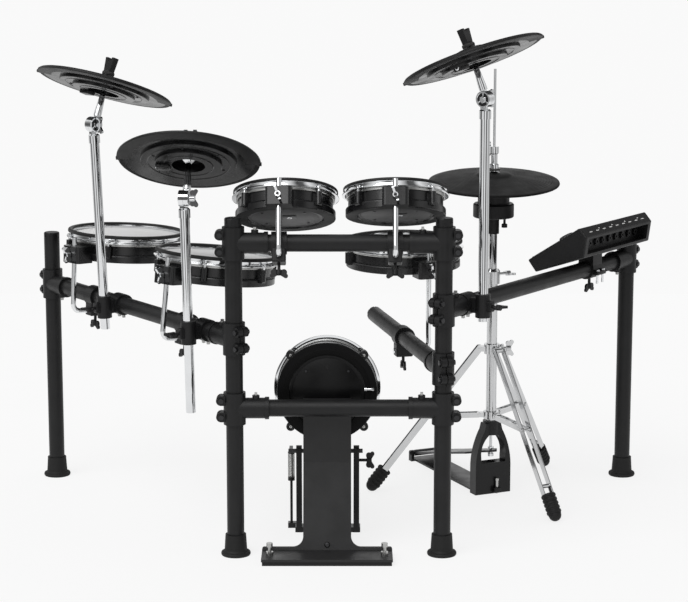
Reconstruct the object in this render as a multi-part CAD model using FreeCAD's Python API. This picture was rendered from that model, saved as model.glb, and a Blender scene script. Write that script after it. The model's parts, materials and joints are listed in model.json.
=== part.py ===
"""Electronic drum kit: a black tube rack with two wings, five mesh pads, three rubber cymbals,
a hi-hat on its own folding stand, a kick tower with its pedal, and a sound module.

Millimetres, +Z up. The audience looks along +Y and the drummer sits on the +Y side.
Every node is written to parts/NODE.step."""
import math
import os
import FreeCAD
import Part

V = FreeCAD.Vector
PI = math.pi
EX = V(1, 0, 0)
EY = V(0, 1, 0)
EZ = V(0, 0, 1)

# Clearances
FIT = 0.05            # running fit of tubes, rods and pins in their bores
GAP = 0.3             # clearance between faces of pieces that move past each other
CLEARANCE = 1.7       # free hole around a rod that rocks in it

# Rack tubes
TUBE_R = 19.05
TUBE_WALL = 2.0
POST_SPACING = 460.0
FRONT_POST_HEIGHT = 745.0
UPPER_BAR_DROP = 40.0
UPPER_BAR_Z = FRONT_POST_HEIGHT - UPPER_BAR_DROP
LOWER_BAR_Z = 0.4766 * UPPER_BAR_Z
WING_LENGTH = 838.0
WING_ANGLE = 54.7
LEFT_WING_Z = 0.6993 * UPPER_BAR_Z
RIGHT_WING_Z = 0.7901 * UPPER_BAR_Z
LEFT_POST_HEIGHT = 606.0
RIGHT_POST_HEIGHT = 606.0
SNARE_BAR_Z = 0.6043 * UPPER_BAR_Z
SNARE_BAR_LENGTH = 626.0
SNARE_BAR_ANGLE = 102.9

# Rack clamps, feet and caps
BAR_CLEARANCE = 3.0
CLAMP_WALL = 5.5
CLAMP_HEIGHT = 72.0
SOCKET_LENGTH = 76.0
SOCKET_WALL = 4.0
SOCKET_COLLAR = 9.0
SOCKET_COLLAR_OUT = 2.0
SOCKET_SCREW_SHARE = 0.62
SOCKET_BOSS_R = 8.0
SOCKET_BOSS_H = 6.0
LOBE_R = 11.0
LOBE_OUT_SHARE = 0.45
LOBE_SPACING = 37.0
LOBE_WIDTH = 27.0
CLAMP_SLIT = 2.0
BOLT_R = 3.2
BOLT_HEAD_R = 5.8
BOLT_HEAD_H = 5.0
FOOT_FLANGE_R = 33.0
FOOT_FLANGE_T = 8.0
FOOT_HEIGHT = 48.0
FOOT_FLOOR = 6.0
FOOT_WALL = 5.0
CAP_HEIGHT = 16.0
CAP_PLUG = 22.0
CAP_EDGE = 3.0
CAP_NOTCHES = 8
CAP_NOTCH_W = 4.0
CAP_NOTCH_DEPTH = 1.2
FOOT_EDGE = 1.5

# Wing screws and key screws
SCREW_R = 3.5
WING_SPAN = 17.0
WING_RISE = 14.0
WING_T = 5.0
WING_HUB_WALL = 3.0
WING_HUB_H = 10.0
KEY_FLANGE_H = 2.0
KEY_HALF = 3.0

# Drum pads: head sizes, then the section that all of them share
SMALL_HEAD_R = 101.6
LARGE_HEAD_R = 127.0
SMALL_LUGS = 4
LARGE_LUGS = 6
SHELL_OVER_HEAD = 4.4
SHELL_WALL = 7.0
SHELL_HEIGHT = 52.0
BASE_RING_OUT = 6.0
BASE_RING_H = 17.0
FLOOR_T = 4.0
FLOOR_RECESS = 5.0
RECESS_SHARE_R = 0.8
HEAD_T = 1.2
FLESH_T = 4.0
FLESH_H = 6.0
FLESH_DROP = 12.0
HOOP_T = 2.3
HOOP_RISE = 16.0
HOOP_FLANGE = 12.0
HOOP_LIP = 7.0
RIM_T = 2.4
RIM_H = 6.5
LUG_WIDTH = 18.0
LUG_HEIGHT = 30.0
LUG_COVER = 7.0
LUG_ROOT = 4.0
LUG_NOSE = 5.0
TENSION_R = 3.0
KEY_HEAD_R = 4.5
KEY_HEAD_H = 6.5
CONE_R = 24.0
CONE_TIP_SHARE = 0.4
SENSOR_T = 2.0
EDGE_ROUND = 3.0
BRACKET_WIDTH = 58.0
BRACKET_HEIGHT = 40.0
BRACKET_REACH = 34.0
BRACKET_FRONT = 14.0
BRACKET_DROP = 4.0
BRACKET_CORNER = 8.0
BRACKET_WING_OUT = 5.0
BRACKET_WING_LEAN = 20.0

# Drum mounts: clamp on the bar and bent rod
ROD_R = 6.0
ROD_BEND = 18.0
ROD_LEG_DROP = 33.0
MOUNT_RING_WALL = 6.0
MOUNT_WIDTH = 34.0
RACK_ROD_OFFSET = 42.0
WING_ROD_OFFSET = 61.0
ROD_ABOVE_BRACKET = 40.0
ROD_PAST_CLAMP = 24.0
MOUNT_BLOCK_W = 30.0
MOUNT_BLOCK_D = 40.0
MOUNT_BLOCK_BELOW = 7.0
MOUNT_BLOCK_SINK = 4.0
MOUNT_EDGE = 3.0
MOUNT_SCREW_LENGTH = 24.0
RACK_TOM_1_X = -130.0
RACK_TOM_1_TILT = 23.0
RACK_TOM_1_TURN = -4.6
RACK_TOM_2_X = 123.0
RACK_TOM_2_TILT = 20.0
RACK_TOM_2_TURN = -1.5
RACK_TOM_RISE = 94.0
FLOOR_TOM_1_S = 619.0
FLOOR_TOM_1_TILT = 3.0
FLOOR_TOM_1_TURN = 12.0
FLOOR_TOM_1_RISE = 105.0
FLOOR_TOM_2_S = 200.0
FLOOR_TOM_2_TILT = 6.0
FLOOR_TOM_2_TURN = 16.5
FLOOR_TOM_2_RISE = 112.0
SNARE_S = 354.0
SNARE_TILT = 0.0
SNARE_TURN = -83.0
SNARE_RISE = 157.0

# Cymbal arms and pads
ARM_R = 11.0
ARM_WALL = 1.6
ARM_OFFSET = 45.0
ARM_CLAMP_HEIGHT = 52.0
ARM_SLEEVE_WALL = 6.0
ARM_EAR = 15.0
ARM_EAR_W = 18.0
ARM_EAR_H = 24.0
ARM_WEB_W = 24.0
ARM_WEB_H = 34.0
ARM_SCREW_LENGTH = 28.0
ARM_BOLT_INSET = 7.0
ARM_BOLT_SINK = 1.0
TILTER_REACH = 108.0
TILTER_R = 18.0
TILTER_T = 10.0
TILTER_NECK = 5.0
FERRULE_WALL = 2.0
FERRULE_LENGTH = 22.0
STEM_LOW_R = 9.0
STEM_TOP_R = 5.5
CYMBAL_ROD_R = 4.0
CYMBAL_ROD_PAST = 36.0
BALL_R = 12.0
BALL_NECK_R = 6.0
SEAT_R = 15.0
SEAT_H = 12.0
FELT_R = 14.0
FELT_H = 7.0
NUT_FOOT_R = 10.0
NUT_TOP_R = 14.5
NUT_HEIGHT = 34.0
NUT_DEPTH = 15.0
NUT_NOTCH = 8.0
CYMBAL_R = 158.0
HIHAT_PAD_R = 158.0
HUB_HALF = 8.0
BELL_TOP_R = 22.0
BELL_R = 44.0
BELL_BORE_R = 14.0
PAD_WAIST_SHARE = 0.6
PAD_WAIST_DROP = 5.0
PAD_EDGE_DROP = 16.0
PAD_LIP = 12.0
RUBBER_T = 3.5
PAD_STEP_R = 107.0
PAD_INNER_R = 75.0
PAD_CUP_R = 37.0
PAD_STEP_DROP = 19.0
CYMBAL_TERRACE = 6.0
HIHAT_TERRACE = 1.0
JACK_LENGTH = 32.0
JACK_WIDTH = 24.0
JACK_BELOW = 7.0
JACK_HOLE_R = 3.2
CRASH_LEFT_S = 498.0
CRASH_LEFT_ARM_LEAN = 2.5
CRASH_LEFT_ARM_DROP = 53.0
CRASH_LEFT_RISE = 433.0
CRASH_LEFT_LEAN = 16.0
CRASH_LEFT_ROLL = 14.6
RIDE_S = 118.0
RIDE_ARM_LEAN = 1.3
RIDE_ARM_DROP = 183.0
RIDE_RISE = 302.0
RIDE_LEAN = 30.0
RIDE_ROLL = 2.6
CRASH_RIGHT_S = 90.0
CRASH_RIGHT_ARM_LEAN = 0.0
CRASH_RIGHT_ARM_DROP = 35.0
CRASH_RIGHT_RISE = 457.0
CRASH_RIGHT_LEAN = 14.0
CRASH_RIGHT_ROLL = -19.0

# Hi-hat stand
HIHAT_X = 371.0
HIHAT_Y = 520.0
HIHAT_PEDAL_ANGLE = 114.4
HIHAT_LOWER_R = 12.7
HIHAT_UPPER_R = 9.5
HIHAT_TUBE_WALL = 1.8
HIHAT_LOWER_TOP = 536.0
HIHAT_PAD_Z = 784.5
HIHAT_PAD_LEAN = 5.0
HIHAT_ROD_R = 3.2
HIHAT_ROD_TOP = 1040.0
CONTROLLER_R = 49.0
CONTROLLER_Z = 684.0
CONTROLLER_H = 34.0
CONTROLLER_DRUM_R = 38.0
CONTROLLER_TOP = 743.0
CASTING_WIDTH = 96.0
CASTING_DEPTH = 30.0
CASTING_SOLID = 78.0
CASTING_TOP = 176.0
CASTING_HUB_R = 20.0
CASTING_HUB_LOW = 28.0
CASTING_HUB_TOP = 6.0
CASTING_SOCKET = 14.0
CASTING_RIB = 15.0
CASTING_WELL_R = 12.0
CASTING_WELL = 30.0
CASTING_SHOULDER = 6.0
BASE_T = 5.0
BASE_PAST_HEEL = 18.0
BASE_INSET = 12.0
HIHAT_TRAVEL = CASTING_WELL / 2
LEG_COUNT = 3
LEG_FIRST_ANGLE = 178.0
LEG_SPREAD = 290.0
LEG_PIVOT_R = 31.0
LEG_COLLAR_Z = 361.0
BRACE_COLLAR_Z = 196.0
LEG_TO_BRACE = 212.0
LEG_RAIL_IN = 10.5
LEG_RAIL_T = 2.5
LEG_RAIL_W = 15.0
LEG_FOOT_R = 15.0
LEG_FOLD_ANGLE = 18.0
LEG_PIN_R = 3.0
HIHAT_HEEL = 351.0
HIHAT_HEEL_Z = 20.0
HIHAT_TOE_Z = 104.0
BOARD_WIDTH = 86.0
BOARD_T = 5.0
TOE_SLOT = 5.0
TOE_TONGUE_W = 22.0
TOE_TONGUE_PAST = 12.0
TOE_SHOULDER = 62.0
BOARD_HEEL_INSET = 5.0
HINGE_R = 8.0
HINGE_PIN_R = 4.0
HINGE_LUG_T = 8.0
HIHAT_NUT_R = 7.0
HIHAT_NUT_H = 7.0
TOE_PLAY = 1.0        # room between the footboard's toe and the rod's nuts
CLUTCH_R = 11.0
CLUTCH_WAIST_R = 8.0
CLUTCH_H = 52.0
CLUTCH_SCREW_UP = 44.0
HEIGHT_CLAMP_WALL = 5.0
HEIGHT_CLAMP_GRIP = 14.0
HEIGHT_CLAMP_PLUG = 30.0
HEIGHT_CLAMP_RISE = 22.0
UPPER_TUBE_INSIDE = 40.0
CONTROLLER_NECK = 40.0
CONTROLLER_NECK_R = 14.0
CONTROLLER_SOCKET = 6.0
CONTROLLER_KNOB_R = 7.0
CONTROLLER_KNOB_H = 26.0
CONTROLLER_KNOB_XY = (-8.0, -26.0)
HEIGHT_SCREW_LENGTH = 30.0
CLUTCH_SCREW_LENGTH = 22.0
LEG_COLLAR_WALL = 6.0
LEG_COLLAR_HALF = 12.0
BRACE_COLLAR_HALF = 9.0
BRACE_LUG = 6.5
LEG_SCREW_LENGTH = 26.0
LEG_SCREW_TURN = 8.0
LEG_LUG_R = 6.0
LEG_PIN_PAST = 4.0
RIVET_H = 2.0
BOOT_LENGTH = 52.0
BOOT_RIBS = 4
BOOT_RIB_PITCH = 12.0
LEG_IN_BOOT = 24.0
LEG_SPACER_UP = 74.0
LEG_SPACER_R = 5.0
BRACE_T = 3.0
BRACE_W = 12.0
BRACE_TIE_R = 4.0

# Kick tower, kick pad and pedal
KICK_X = -26.0
KICK_Z = 360.0
KICK_REAR_Y = 52.0
TOWER_WIDTH = 107.0
TOWER_T = 6.0
TOWER_TOP = 346.0
TOWER_FRONT_Y = -90.0
TOWER_BEND_Y = -12.0
TOWER_BASE_WIDTH = 290.0
TOWER_PAD_T = 9.0
TOWER_FILLET = 22.0
TOWER_KNEE_RISE = 190.0
TOWER_STEP = 6.0
TOWER_CORNER = 5.0
SPIKE_R = 4.0
SPIKE_INSET = 18.0
SPIKE_HEIGHT = 42.0
SPIKE_POINT = 9.0
SPIKE_NUT_H = 7.0
SPIKE_HEAD_H = 9.0
STRIP_WIDTH = 60.0
JAW_WIDTH = 34.0
AXLE_Y = 188.0
AXLE_Z = 190.0
AXLE_R = 5.0
PEDAL_POST_SPACING = 132.0
PEDAL_POST_T = 13.0
PEDAL_HEEL_Y = 506.0
PEDAL_HEEL_Z = 22.0
PEDAL_TOE_Z = 96.0
CAM_R = 36.0
CAM_T = 13.0
BEATER_LENGTH = 165.0
BEATER_R = 24.0
BEATER_DEPTH = 34.0
BEATER_REST = 35.0
SPRING_R = 7.0
SPRING_WIRE = 1.0
SPRING_TURNS = 18
SPRING_PITCH = 3.0
CRANK_LENGTH = 28.0
CHAIN_PITCH = 8.0
CHAIN_INNER = 2.4
CHAIN_OUTER = 3.7
CHAIN_PLATE_T = 1.1
CHAIN_PLATE_R = 2.9
CHAIN_ROLLER_R = 2.6
CHAIN_PIN_R = 1.2
PEDAL_FOOT_W = 72.0
PEDAL_FOOT_T = 12.0
PEDAL_FOOT_HALF = 16.0
PEDAL_FOOT_PAST = 9.0
PEDAL_FRONT = 32.0
POST_TOP_HALF = 11.0
POST_FOOT_HALF = 17.0
JAW_REACH = 40.0
JAW_DEPTH = 38.0
JAW_T = 10.0
CRANK_W = 8.0
CRANK_R = 5.0
CRANK_ROD_R = 2.0
SPRING_OUT = 12.0
SPRING_DROP = 14.0
SPRING_CUP_T = 8.0
SPRING_STEM_R = 3.0
BEATER_SHAFT_R = 4.0
BEATER_ROUND = 5.0
CAM_HUB_WALL = 6.0
CAM_HUB_OUT = 10.0
POST_SCREW_LENGTH = 20.0

# Sound module, in the right bar's own directions
MODULE_LENGTH = 325.0
MODULE_TO_POST = 25.5
MODULE_S = WING_LENGTH - MODULE_TO_POST - MODULE_LENGTH / 2
MODULE_SECTION = [(-62, 124), (-81, 103), (-74, 54), (56, 8), (78, 35)]
MODULE_RECESS = 24.0
MODULE_JACKS = 9
DIAL_R = 19.0
DIAL_H = 13.0
DIAL_SHARE = 0.28
DIAL_SHAFT_R = 4.0
DIAL_SHAFT = 11.0
DIAL_EDGE = 2.0
MODULE_EDGE = 4.0
MODULE_CHEEK = 16.0
MODULE_SILL = 7.0
MODULE_HOOD = 6.0
JACK_R = 7.0
JACK_WALL = 3.8
JACK_OUT = 5.0
JACK_END = 35.0
SADDLE_WIDTH = 44.0
SADDLE_WALL = 5.0
SADDLE_OUT = 22.0
SADDLE_IN = 18.0
SADDLE_HIGH = 50.0
SADDLE_SCREW_LENGTH = 22.0

nodes = {}


def frame(origin, x_dir, z_dir):
    """Placement whose X axis lies along x_dir as nearly as z_dir lets it."""
    z = V(z_dir).normalize()
    x = V(x_dir).sub(z * V(x_dir).dot(z)).normalize()
    return FreeCAD.Placement(origin, FreeCAD.Rotation(x, z.cross(x), z, "ZXY"))


def shifted(x, y, z):
    return FreeCAD.Placement(V(x, y, z), FreeCAD.Rotation())


def spun(axis, degrees):
    return FreeCAD.Placement(V(0, 0, 0), FreeCAD.Rotation(axis, degrees))


def put(shape, place):
    moved = shape.copy()
    moved.Placement = place.multiply(moved.Placement)
    return moved


def put_all(shapes, place):
    return [put(shape, place) for shape in shapes]


def fused(shapes):
    result = shapes[0].fuse(shapes[1:]) if len(shapes) > 1 else shapes[0]
    return result.removeSplitter()


def rod(start, end, radius):
    return Part.makeCylinder(radius, end.sub(start).Length, start, end.sub(start))


def tube(start, end, radius, wall):
    return rod(start, end, radius).cut(rod(start, end, radius - wall))


def box(x0, x1, y0, y1, z0, z1):
    return Part.makeBox(x1 - x0, y1 - y0, z1 - z0, V(x0, y0, z0))


def rounded_box(x0, x1, y0, y1, z0, z1, radius):
    block = box(x0, x1, y0, y1, z0, z1)
    return block.makeFillet(radius, block.Edges)


def outline(points, to_3d):
    """Closed wire through points; an item of two points is an arc through the first to the second."""
    edges = []
    last = points[0]
    for item in list(points[1:]) + [points[0]]:
        if isinstance(item[0], tuple):
            edges.append(Part.Arc(to_3d(last), to_3d(item[0]), to_3d(item[1])).toShape())
            last = item[1]
        elif math.dist(last, item) > 1e-6:
            edges.append(Part.LineSegment(to_3d(last), to_3d(item)).toShape())
            last = item
    return Part.Wire(edges)


def revolved(points, angle=360.0):
    """Solid turned about Z from an outline of (radius, height) points."""
    face = Part.Face(outline(points, lambda p: V(p[0], 0, p[1])))
    return face.revolve(V(0, 0, 0), EZ, angle)


def prism(points, length):
    """Outline in the XY plane, drawn up by length and centred on Z = 0."""
    face = Part.Face(outline(points, lambda p: V(p[0], p[1], -length / 2)))
    return face.extrude(V(0, 0, length))


def sheet(points, thickness, width):
    """Bent sheet: a path of (y, z) points thickened to its left, as wide as width along X."""
    def unit(a, b):
        length = math.dist(a, b)
        return ((b[0] - a[0]) / length, (b[1] - a[1]) / length)
    far = []
    for i, point in enumerate(points):
        before = unit(points[max(i - 1, 0)], points[max(i, 1)])
        after = unit(points[min(i, len(points) - 2)], points[min(i + 1, len(points) - 1)])
        normal = (-before[1] - after[1], before[0] + after[0])
        grow = thickness / (1 + before[0] * after[0] + before[1] * after[1])
        far.append((point[0] + normal[0] * grow, point[1] + normal[1] * grow))
    face = Part.Face(outline(list(points) + far[::-1], lambda p: V(-width / 2, p[0], p[1])))
    return face.extrude(V(width, 0, 0))


def bent_rod(points, radius, bend):
    """Round rod along straight runs joined by arcs of the bend radius."""
    edges = []
    start = points[0]
    for i in range(1, len(points) - 1):
        come = points[i].sub(points[i - 1]).normalize()
        leave = points[i + 1].sub(points[i]).normalize()
        turn = come.getAngle(leave)
        back = bend * math.tan(turn / 2)
        first = points[i] - come * back
        last = points[i] + leave * back
        inward = (leave - come).normalize()
        middle = points[i] + inward * (bend / math.cos(turn / 2) - bend)
        edges.append(Part.LineSegment(start, first).toShape())
        edges.append(Part.Arc(first, middle, last).toShape())
        start = last
    edges.append(Part.LineSegment(start, points[-1]).toShape())
    ring = Part.Wire(Part.makeCircle(radius, points[0], points[1].sub(points[0])))
    return Part.Wire(edges).makePipeShell([ring], True, False)


def wing_screw(length, radius):
    """Screw along +Z from its tip at the origin, with two round wings at the far end."""
    span = WING_SPAN
    rise = WING_RISE
    wing = prism([(-span, rise - 8), ((4 - span, -4), (-5, -1)), (5, -1), ((span - 4, -4), (span, rise - 8)),
                  ((span + 2, rise - 1), (span - 5, rise)), (4, rise - 5), (-4, rise - 5), (5 - span, rise),
                  ((-span - 2, rise - 1), (-span, rise - 8))], WING_T)
    wing = put(wing, shifted(0, 0, length).multiply(spun(EX, 90)))
    hub = Part.makeCylinder(radius + WING_HUB_WALL, WING_HUB_H, V(0, 0, length - WING_HUB_WALL))
    return fused([Part.makeCylinder(radius, length, V(0, 0, 0)), hub, wing])


def key_screw(length):
    """Square-headed key screw along +Z from its tip at the origin."""
    head = Part.makeCylinder(KEY_HEAD_R, KEY_FLANGE_H, V(0, 0, length))
    square = box(-KEY_HALF, KEY_HALF, -KEY_HALF, KEY_HALF, length + KEY_FLANGE_H, length + KEY_HEAD_H)
    return fused([Part.makeCylinder(TENSION_R, length, V(0, 0, 0)), head, square])


# Rack

def rack_tube(start, end):
    return tube(start, end, TUBE_R, TUBE_WALL)


BAR_START = TUBE_R + BAR_CLEARANCE


def rack_clamp(place):
    """Cast clamp with its two bolts: the post runs along Z and the bar leaves along +X."""
    outer = TUBE_R + CLAMP_WALL
    sleeve = Part.makeCylinder(outer, CLAMP_HEIGHT, V(0, 0, -CLAMP_HEIGHT / 2))
    socket = Part.makeCylinder(TUBE_R + SOCKET_WALL, SOCKET_LENGTH, V(0, 0, 0), EX)
    collar = Part.makeCylinder(TUBE_R + SOCKET_WALL + SOCKET_COLLAR_OUT, SOCKET_COLLAR,
                               V(SOCKET_LENGTH - SOCKET_COLLAR, 0, 0), EX)
    lobe_x = -(outer + LOBE_R * LOBE_OUT_SHARE)
    solids = [sleeve, socket, collar]
    for z in (-LOBE_SPACING / 2, LOBE_SPACING / 2):
        solids.append(Part.makeCylinder(LOBE_R, LOBE_WIDTH, V(lobe_x, -LOBE_WIDTH / 2, z), EY))
        solids.append(box(lobe_x, 0, -LOBE_WIDTH / 2, LOBE_WIDTH / 2, z - LOBE_R, z + LOBE_R))
    screw_x = SOCKET_LENGTH * SOCKET_SCREW_SHARE
    boss_top = TUBE_R + SOCKET_WALL + SOCKET_BOSS_H
    solids.append(Part.makeCylinder(SOCKET_BOSS_R, boss_top, V(screw_x, 0, 0)))
    body = fused(solids)
    body = body.cut(Part.makeCylinder(TUBE_R + FIT, CLAMP_HEIGHT * 2, V(0, 0, -CLAMP_HEIGHT)))
    body = body.cut(Part.makeCylinder(TUBE_R + FIT, SOCKET_LENGTH * 2, V(BAR_START, 0, 0), EX))
    body = body.cut(box(lobe_x * 2, 0, -CLAMP_SLIT / 2, CLAMP_SLIT / 2, -CLAMP_HEIGHT, CLAMP_HEIGHT))
    body = body.cut(Part.makeCylinder(TENSION_R + FIT, boss_top * 2, V(screw_x, 0, TUBE_R)))
    bolts = []
    for z in (-LOBE_SPACING / 2, LOBE_SPACING / 2):
        body = body.cut(Part.makeCylinder(BOLT_R + FIT, LOBE_WIDTH * 2, V(lobe_x, -LOBE_WIDTH, z), EY))
        shaft = Part.makeCylinder(BOLT_R, LOBE_WIDTH + BOLT_HEAD_H, V(lobe_x, -LOBE_WIDTH / 2, z), EY)
        head = Part.makeCylinder(BOLT_HEAD_R, BOLT_HEAD_H, V(lobe_x, LOBE_WIDTH / 2, z), EY)
        nut = Part.makeCylinder(BOLT_HEAD_R, BOLT_HEAD_H, V(lobe_x, -LOBE_WIDTH / 2, z), EY * -1)
        bolts.append(fused([shaft, head, nut]))
    screw = put(key_screw(boss_top - TUBE_R - FIT), shifted(screw_x, 0, TUBE_R + FIT))
    return put_all([body, screw] + bolts, place)


def rack_foot(x, y):
    """Rubber foot with a flared base; the post stands in its bore."""
    sleeve_r = TUBE_R + FOOT_WALL
    flat_r = FOOT_FLANGE_R - FOOT_EDGE
    body = revolved([(0, 0), (flat_r, 0), ((FOOT_FLANGE_R, FOOT_FLANGE_T / 2), (flat_r, FOOT_FLANGE_T)),
                     ((sleeve_r + 3, FOOT_FLANGE_T + 2), (sleeve_r + 1, FOOT_FLANGE_T + 8)),
                     (sleeve_r - 1, FOOT_HEIGHT), (TUBE_R + FIT, FOOT_HEIGHT),
                     (TUBE_R + FIT, FOOT_FLOOR), (0, FOOT_FLOOR)])
    return put(body, shifted(x, y, 0))


def tube_cap(place):
    """Plastic end cap: a ribbed top as wide as the tube and a plug inside it."""
    plug_r = TUBE_R - TUBE_WALL - FIT
    body = revolved([(0, -CAP_PLUG), (plug_r, -CAP_PLUG), (plug_r, 0), (TUBE_R, 0),
                     (TUBE_R, CAP_HEIGHT - CAP_EDGE), ((TUBE_R - 1, CAP_HEIGHT - 1),
                     (TUBE_R - CAP_EDGE, CAP_HEIGHT)), (0, CAP_HEIGHT)])
    for i in range(CAP_NOTCHES):
        notch = box(TUBE_R - CAP_NOTCH_DEPTH, TUBE_R + 1, -CAP_NOTCH_W / 2, CAP_NOTCH_W / 2,
                    CAP_NOTCH_W, CAP_HEIGHT + 1)
        body = body.cut(put(notch, spun(EZ, i * 360.0 / CAP_NOTCHES)))
    return put(body, place)


FRONT_X = POST_SPACING / 2
LEFT_DIR = V(-math.cos(math.radians(WING_ANGLE)), math.sin(math.radians(WING_ANGLE)), 0)
RIGHT_DIR = V(-LEFT_DIR.x, LEFT_DIR.y, 0)
SNARE_DIR = V(math.cos(math.radians(SNARE_BAR_ANGLE)), math.sin(math.radians(SNARE_BAR_ANGLE)), 0)
LEFT_PIVOT = V(-FRONT_X, 0, LEFT_WING_Z)
RIGHT_PIVOT = V(FRONT_X, 0, RIGHT_WING_Z)
SNARE_PIVOT = V(FRONT_X, 0, SNARE_BAR_Z)


def post(x, y, height):
    return rack_tube(V(x, y, FOOT_FLOOR), V(x, y, height))


def front_rack():
    tubes = [post(side * FRONT_X, 0, FRONT_POST_HEIGHT) for side in (-1, 1)]
    bars = [rack_tube(V(BAR_START - FRONT_X, 0, z), V(FRONT_X - BAR_START, 0, z))
            for z in (UPPER_BAR_Z, LOWER_BAR_Z)]
    fittings = []
    for side in (-1, 1):
        for z in (UPPER_BAR_Z, LOWER_BAR_Z):
            fittings += rack_clamp(frame(V(side * FRONT_X, 0, z), V(-side, 0, 0), EZ))
    feet = [rack_foot(side * FRONT_X, 0) for side in (-1, 1)]
    caps = [tube_cap(shifted(side * FRONT_X, 0, FRONT_POST_HEIGHT)) for side in (-1, 1)]
    nodes["front_tubes"] = tubes + bars
    nodes["front_fittings"] = fittings + feet + caps


def arm_clamp(place):
    """Clamp for a cymbal arm: the bar runs along X, the arm stands along Z at +Y."""
    ring_r = TUBE_R + MOUNT_RING_WALL
    half_h = ARM_CLAMP_HEIGHT / 2
    ring = Part.makeCylinder(ring_r, MOUNT_WIDTH, V(-MOUNT_WIDTH / 2, 0, 0), EX)
    sleeve = Part.makeCylinder(ARM_R + ARM_SLEEVE_WALL, ARM_CLAMP_HEIGHT, V(0, ARM_OFFSET, -half_h))
    web = rounded_box(-ARM_WEB_W / 2, ARM_WEB_W / 2, MOUNT_EDGE, ARM_OFFSET,
                      -ARM_WEB_H / 2, ARM_WEB_H / 2, MOUNT_EDGE)
    ear = rounded_box(-ARM_EAR_W / 2, ARM_EAR_W / 2, ARM_OFFSET, ARM_OFFSET + ARM_R + ARM_EAR,
                      -ARM_EAR_H / 2, ARM_EAR_H / 2, MOUNT_EDGE)
    body = fused([ring, sleeve, web, ear])
    body = body.cut(Part.makeCylinder(TUBE_R + FIT, MOUNT_WIDTH * 2, V(-MOUNT_WIDTH, 0, 0), EX))
    body = body.cut(Part.makeCylinder(ARM_R + FIT, ARM_CLAMP_HEIGHT * 2, V(0, ARM_OFFSET, -ARM_CLAMP_HEIGHT)))
    tip = ARM_OFFSET + ARM_R + GAP
    body = body.cut(Part.makeCylinder(SCREW_R + FIT, ARM_SCREW_LENGTH * 2, V(0, tip, 0), EY))
    screw = put(wing_screw(ARM_SCREW_LENGTH, SCREW_R), frame(V(0, tip, 0), EX, EY))
    bolts = []
    bolt_z = ARM_BOLT_SINK - ring_r
    for x in (ARM_BOLT_INSET - MOUNT_WIDTH / 2, MOUNT_WIDTH / 2 - ARM_BOLT_INSET):
        bolts.append(put(key_screw(ARM_BOLT_SINK), frame(V(x, 0, bolt_z), EX, EZ * -1)))
        body = body.cut(rod(V(x, 0, -ring_r * 2), V(x, 0, bolt_z), TENSION_R + FIT))
    return put_all([body, screw] + bolts, place)


def wing(name, pivot, direction, post_height, arm_places):
    """One wing: bar and rear post, with clamps, foot, cap and cymbal-arm clamps."""
    end = pivot + direction * WING_LENGTH
    bar = rack_tube(pivot + direction * BAR_START, end - direction * BAR_START)
    nodes[name + "_tubes"] = [bar, post(end.x, end.y, post_height)]
    fittings = rack_clamp(frame(pivot, direction, EZ)) + rack_clamp(frame(end, direction * -1, EZ * -1))
    fittings += [rack_foot(end.x, end.y), tube_cap(shifted(end.x, end.y, post_height))]
    for place in arm_places:
        fittings += arm_clamp(place)
    nodes[name + "_fittings"] = fittings


LEFT_OUT = V(-LEFT_DIR.y, LEFT_DIR.x, 0)
RIGHT_OUT = V(RIGHT_DIR.y, -RIGHT_DIR.x, 0)
SNARE_OUT = V(SNARE_DIR.y, -SNARE_DIR.x, 0)


# Drum mounts and pads

def mount_place(bar_point, out_dir, tilt):
    """Frame of a drum mount: X along the bar, Y towards the drum, and the tilt lowers the +Y side."""
    return frame(bar_point, EZ.cross(out_dir), EZ).multiply(spun(EX, -tilt))


def drum_mount(rod_offset, rod_top):
    """Clamp on the bar with the bent rod and its wing screw, in the mount's frame."""
    ring_r = TUBE_R + MOUNT_RING_WALL
    ring = Part.makeCylinder(ring_r, MOUNT_WIDTH, V(-MOUNT_WIDTH / 2, 0, 0), EX)
    leg_z = -ROD_LEG_DROP
    block = rounded_box(-MOUNT_BLOCK_W / 2, MOUNT_BLOCK_W / 2, -MOUNT_BLOCK_D / 2, MOUNT_BLOCK_D / 2,
                        leg_z - ROD_R - MOUNT_BLOCK_BELOW, MOUNT_BLOCK_SINK - TUBE_R, MOUNT_EDGE)
    body = fused([ring, block])
    body = body.cut(Part.makeCylinder(TUBE_R + FIT, MOUNT_WIDTH * 2, V(-MOUNT_WIDTH, 0, 0), EX))
    body = body.cut(rod(V(0, -MOUNT_BLOCK_D, leg_z), V(0, MOUNT_BLOCK_D, leg_z), ROD_R + FIT))
    screw_top = leg_z - ROD_R - GAP
    body = body.cut(rod(V(0, 0, screw_top - MOUNT_SCREW_LENGTH), V(0, 0, screw_top), SCREW_R + FIT))
    screw = put(wing_screw(MOUNT_SCREW_LENGTH, SCREW_R), frame(V(0, 0, screw_top), EX, EZ * -1))
    corner = V(0, -rod_offset, leg_z)
    bent = bent_rod([V(0, ROD_PAST_CLAMP, leg_z), corner, V(0, -rod_offset, rod_top)], ROD_R, ROD_BEND)
    return [body, bent, screw]


def shell_wall(shell_r, base_r, low):
    """Solid as wide as a drum's outside, from height low to the bearing edge."""
    return revolved([(0, low), (base_r, low), (base_r, BASE_RING_H - EDGE_ROUND),
                     ((base_r - 1, BASE_RING_H), (shell_r, BASE_RING_H + 2)),
                     (shell_r, SHELL_HEIGHT), (0, SHELL_HEIGHT)])


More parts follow.
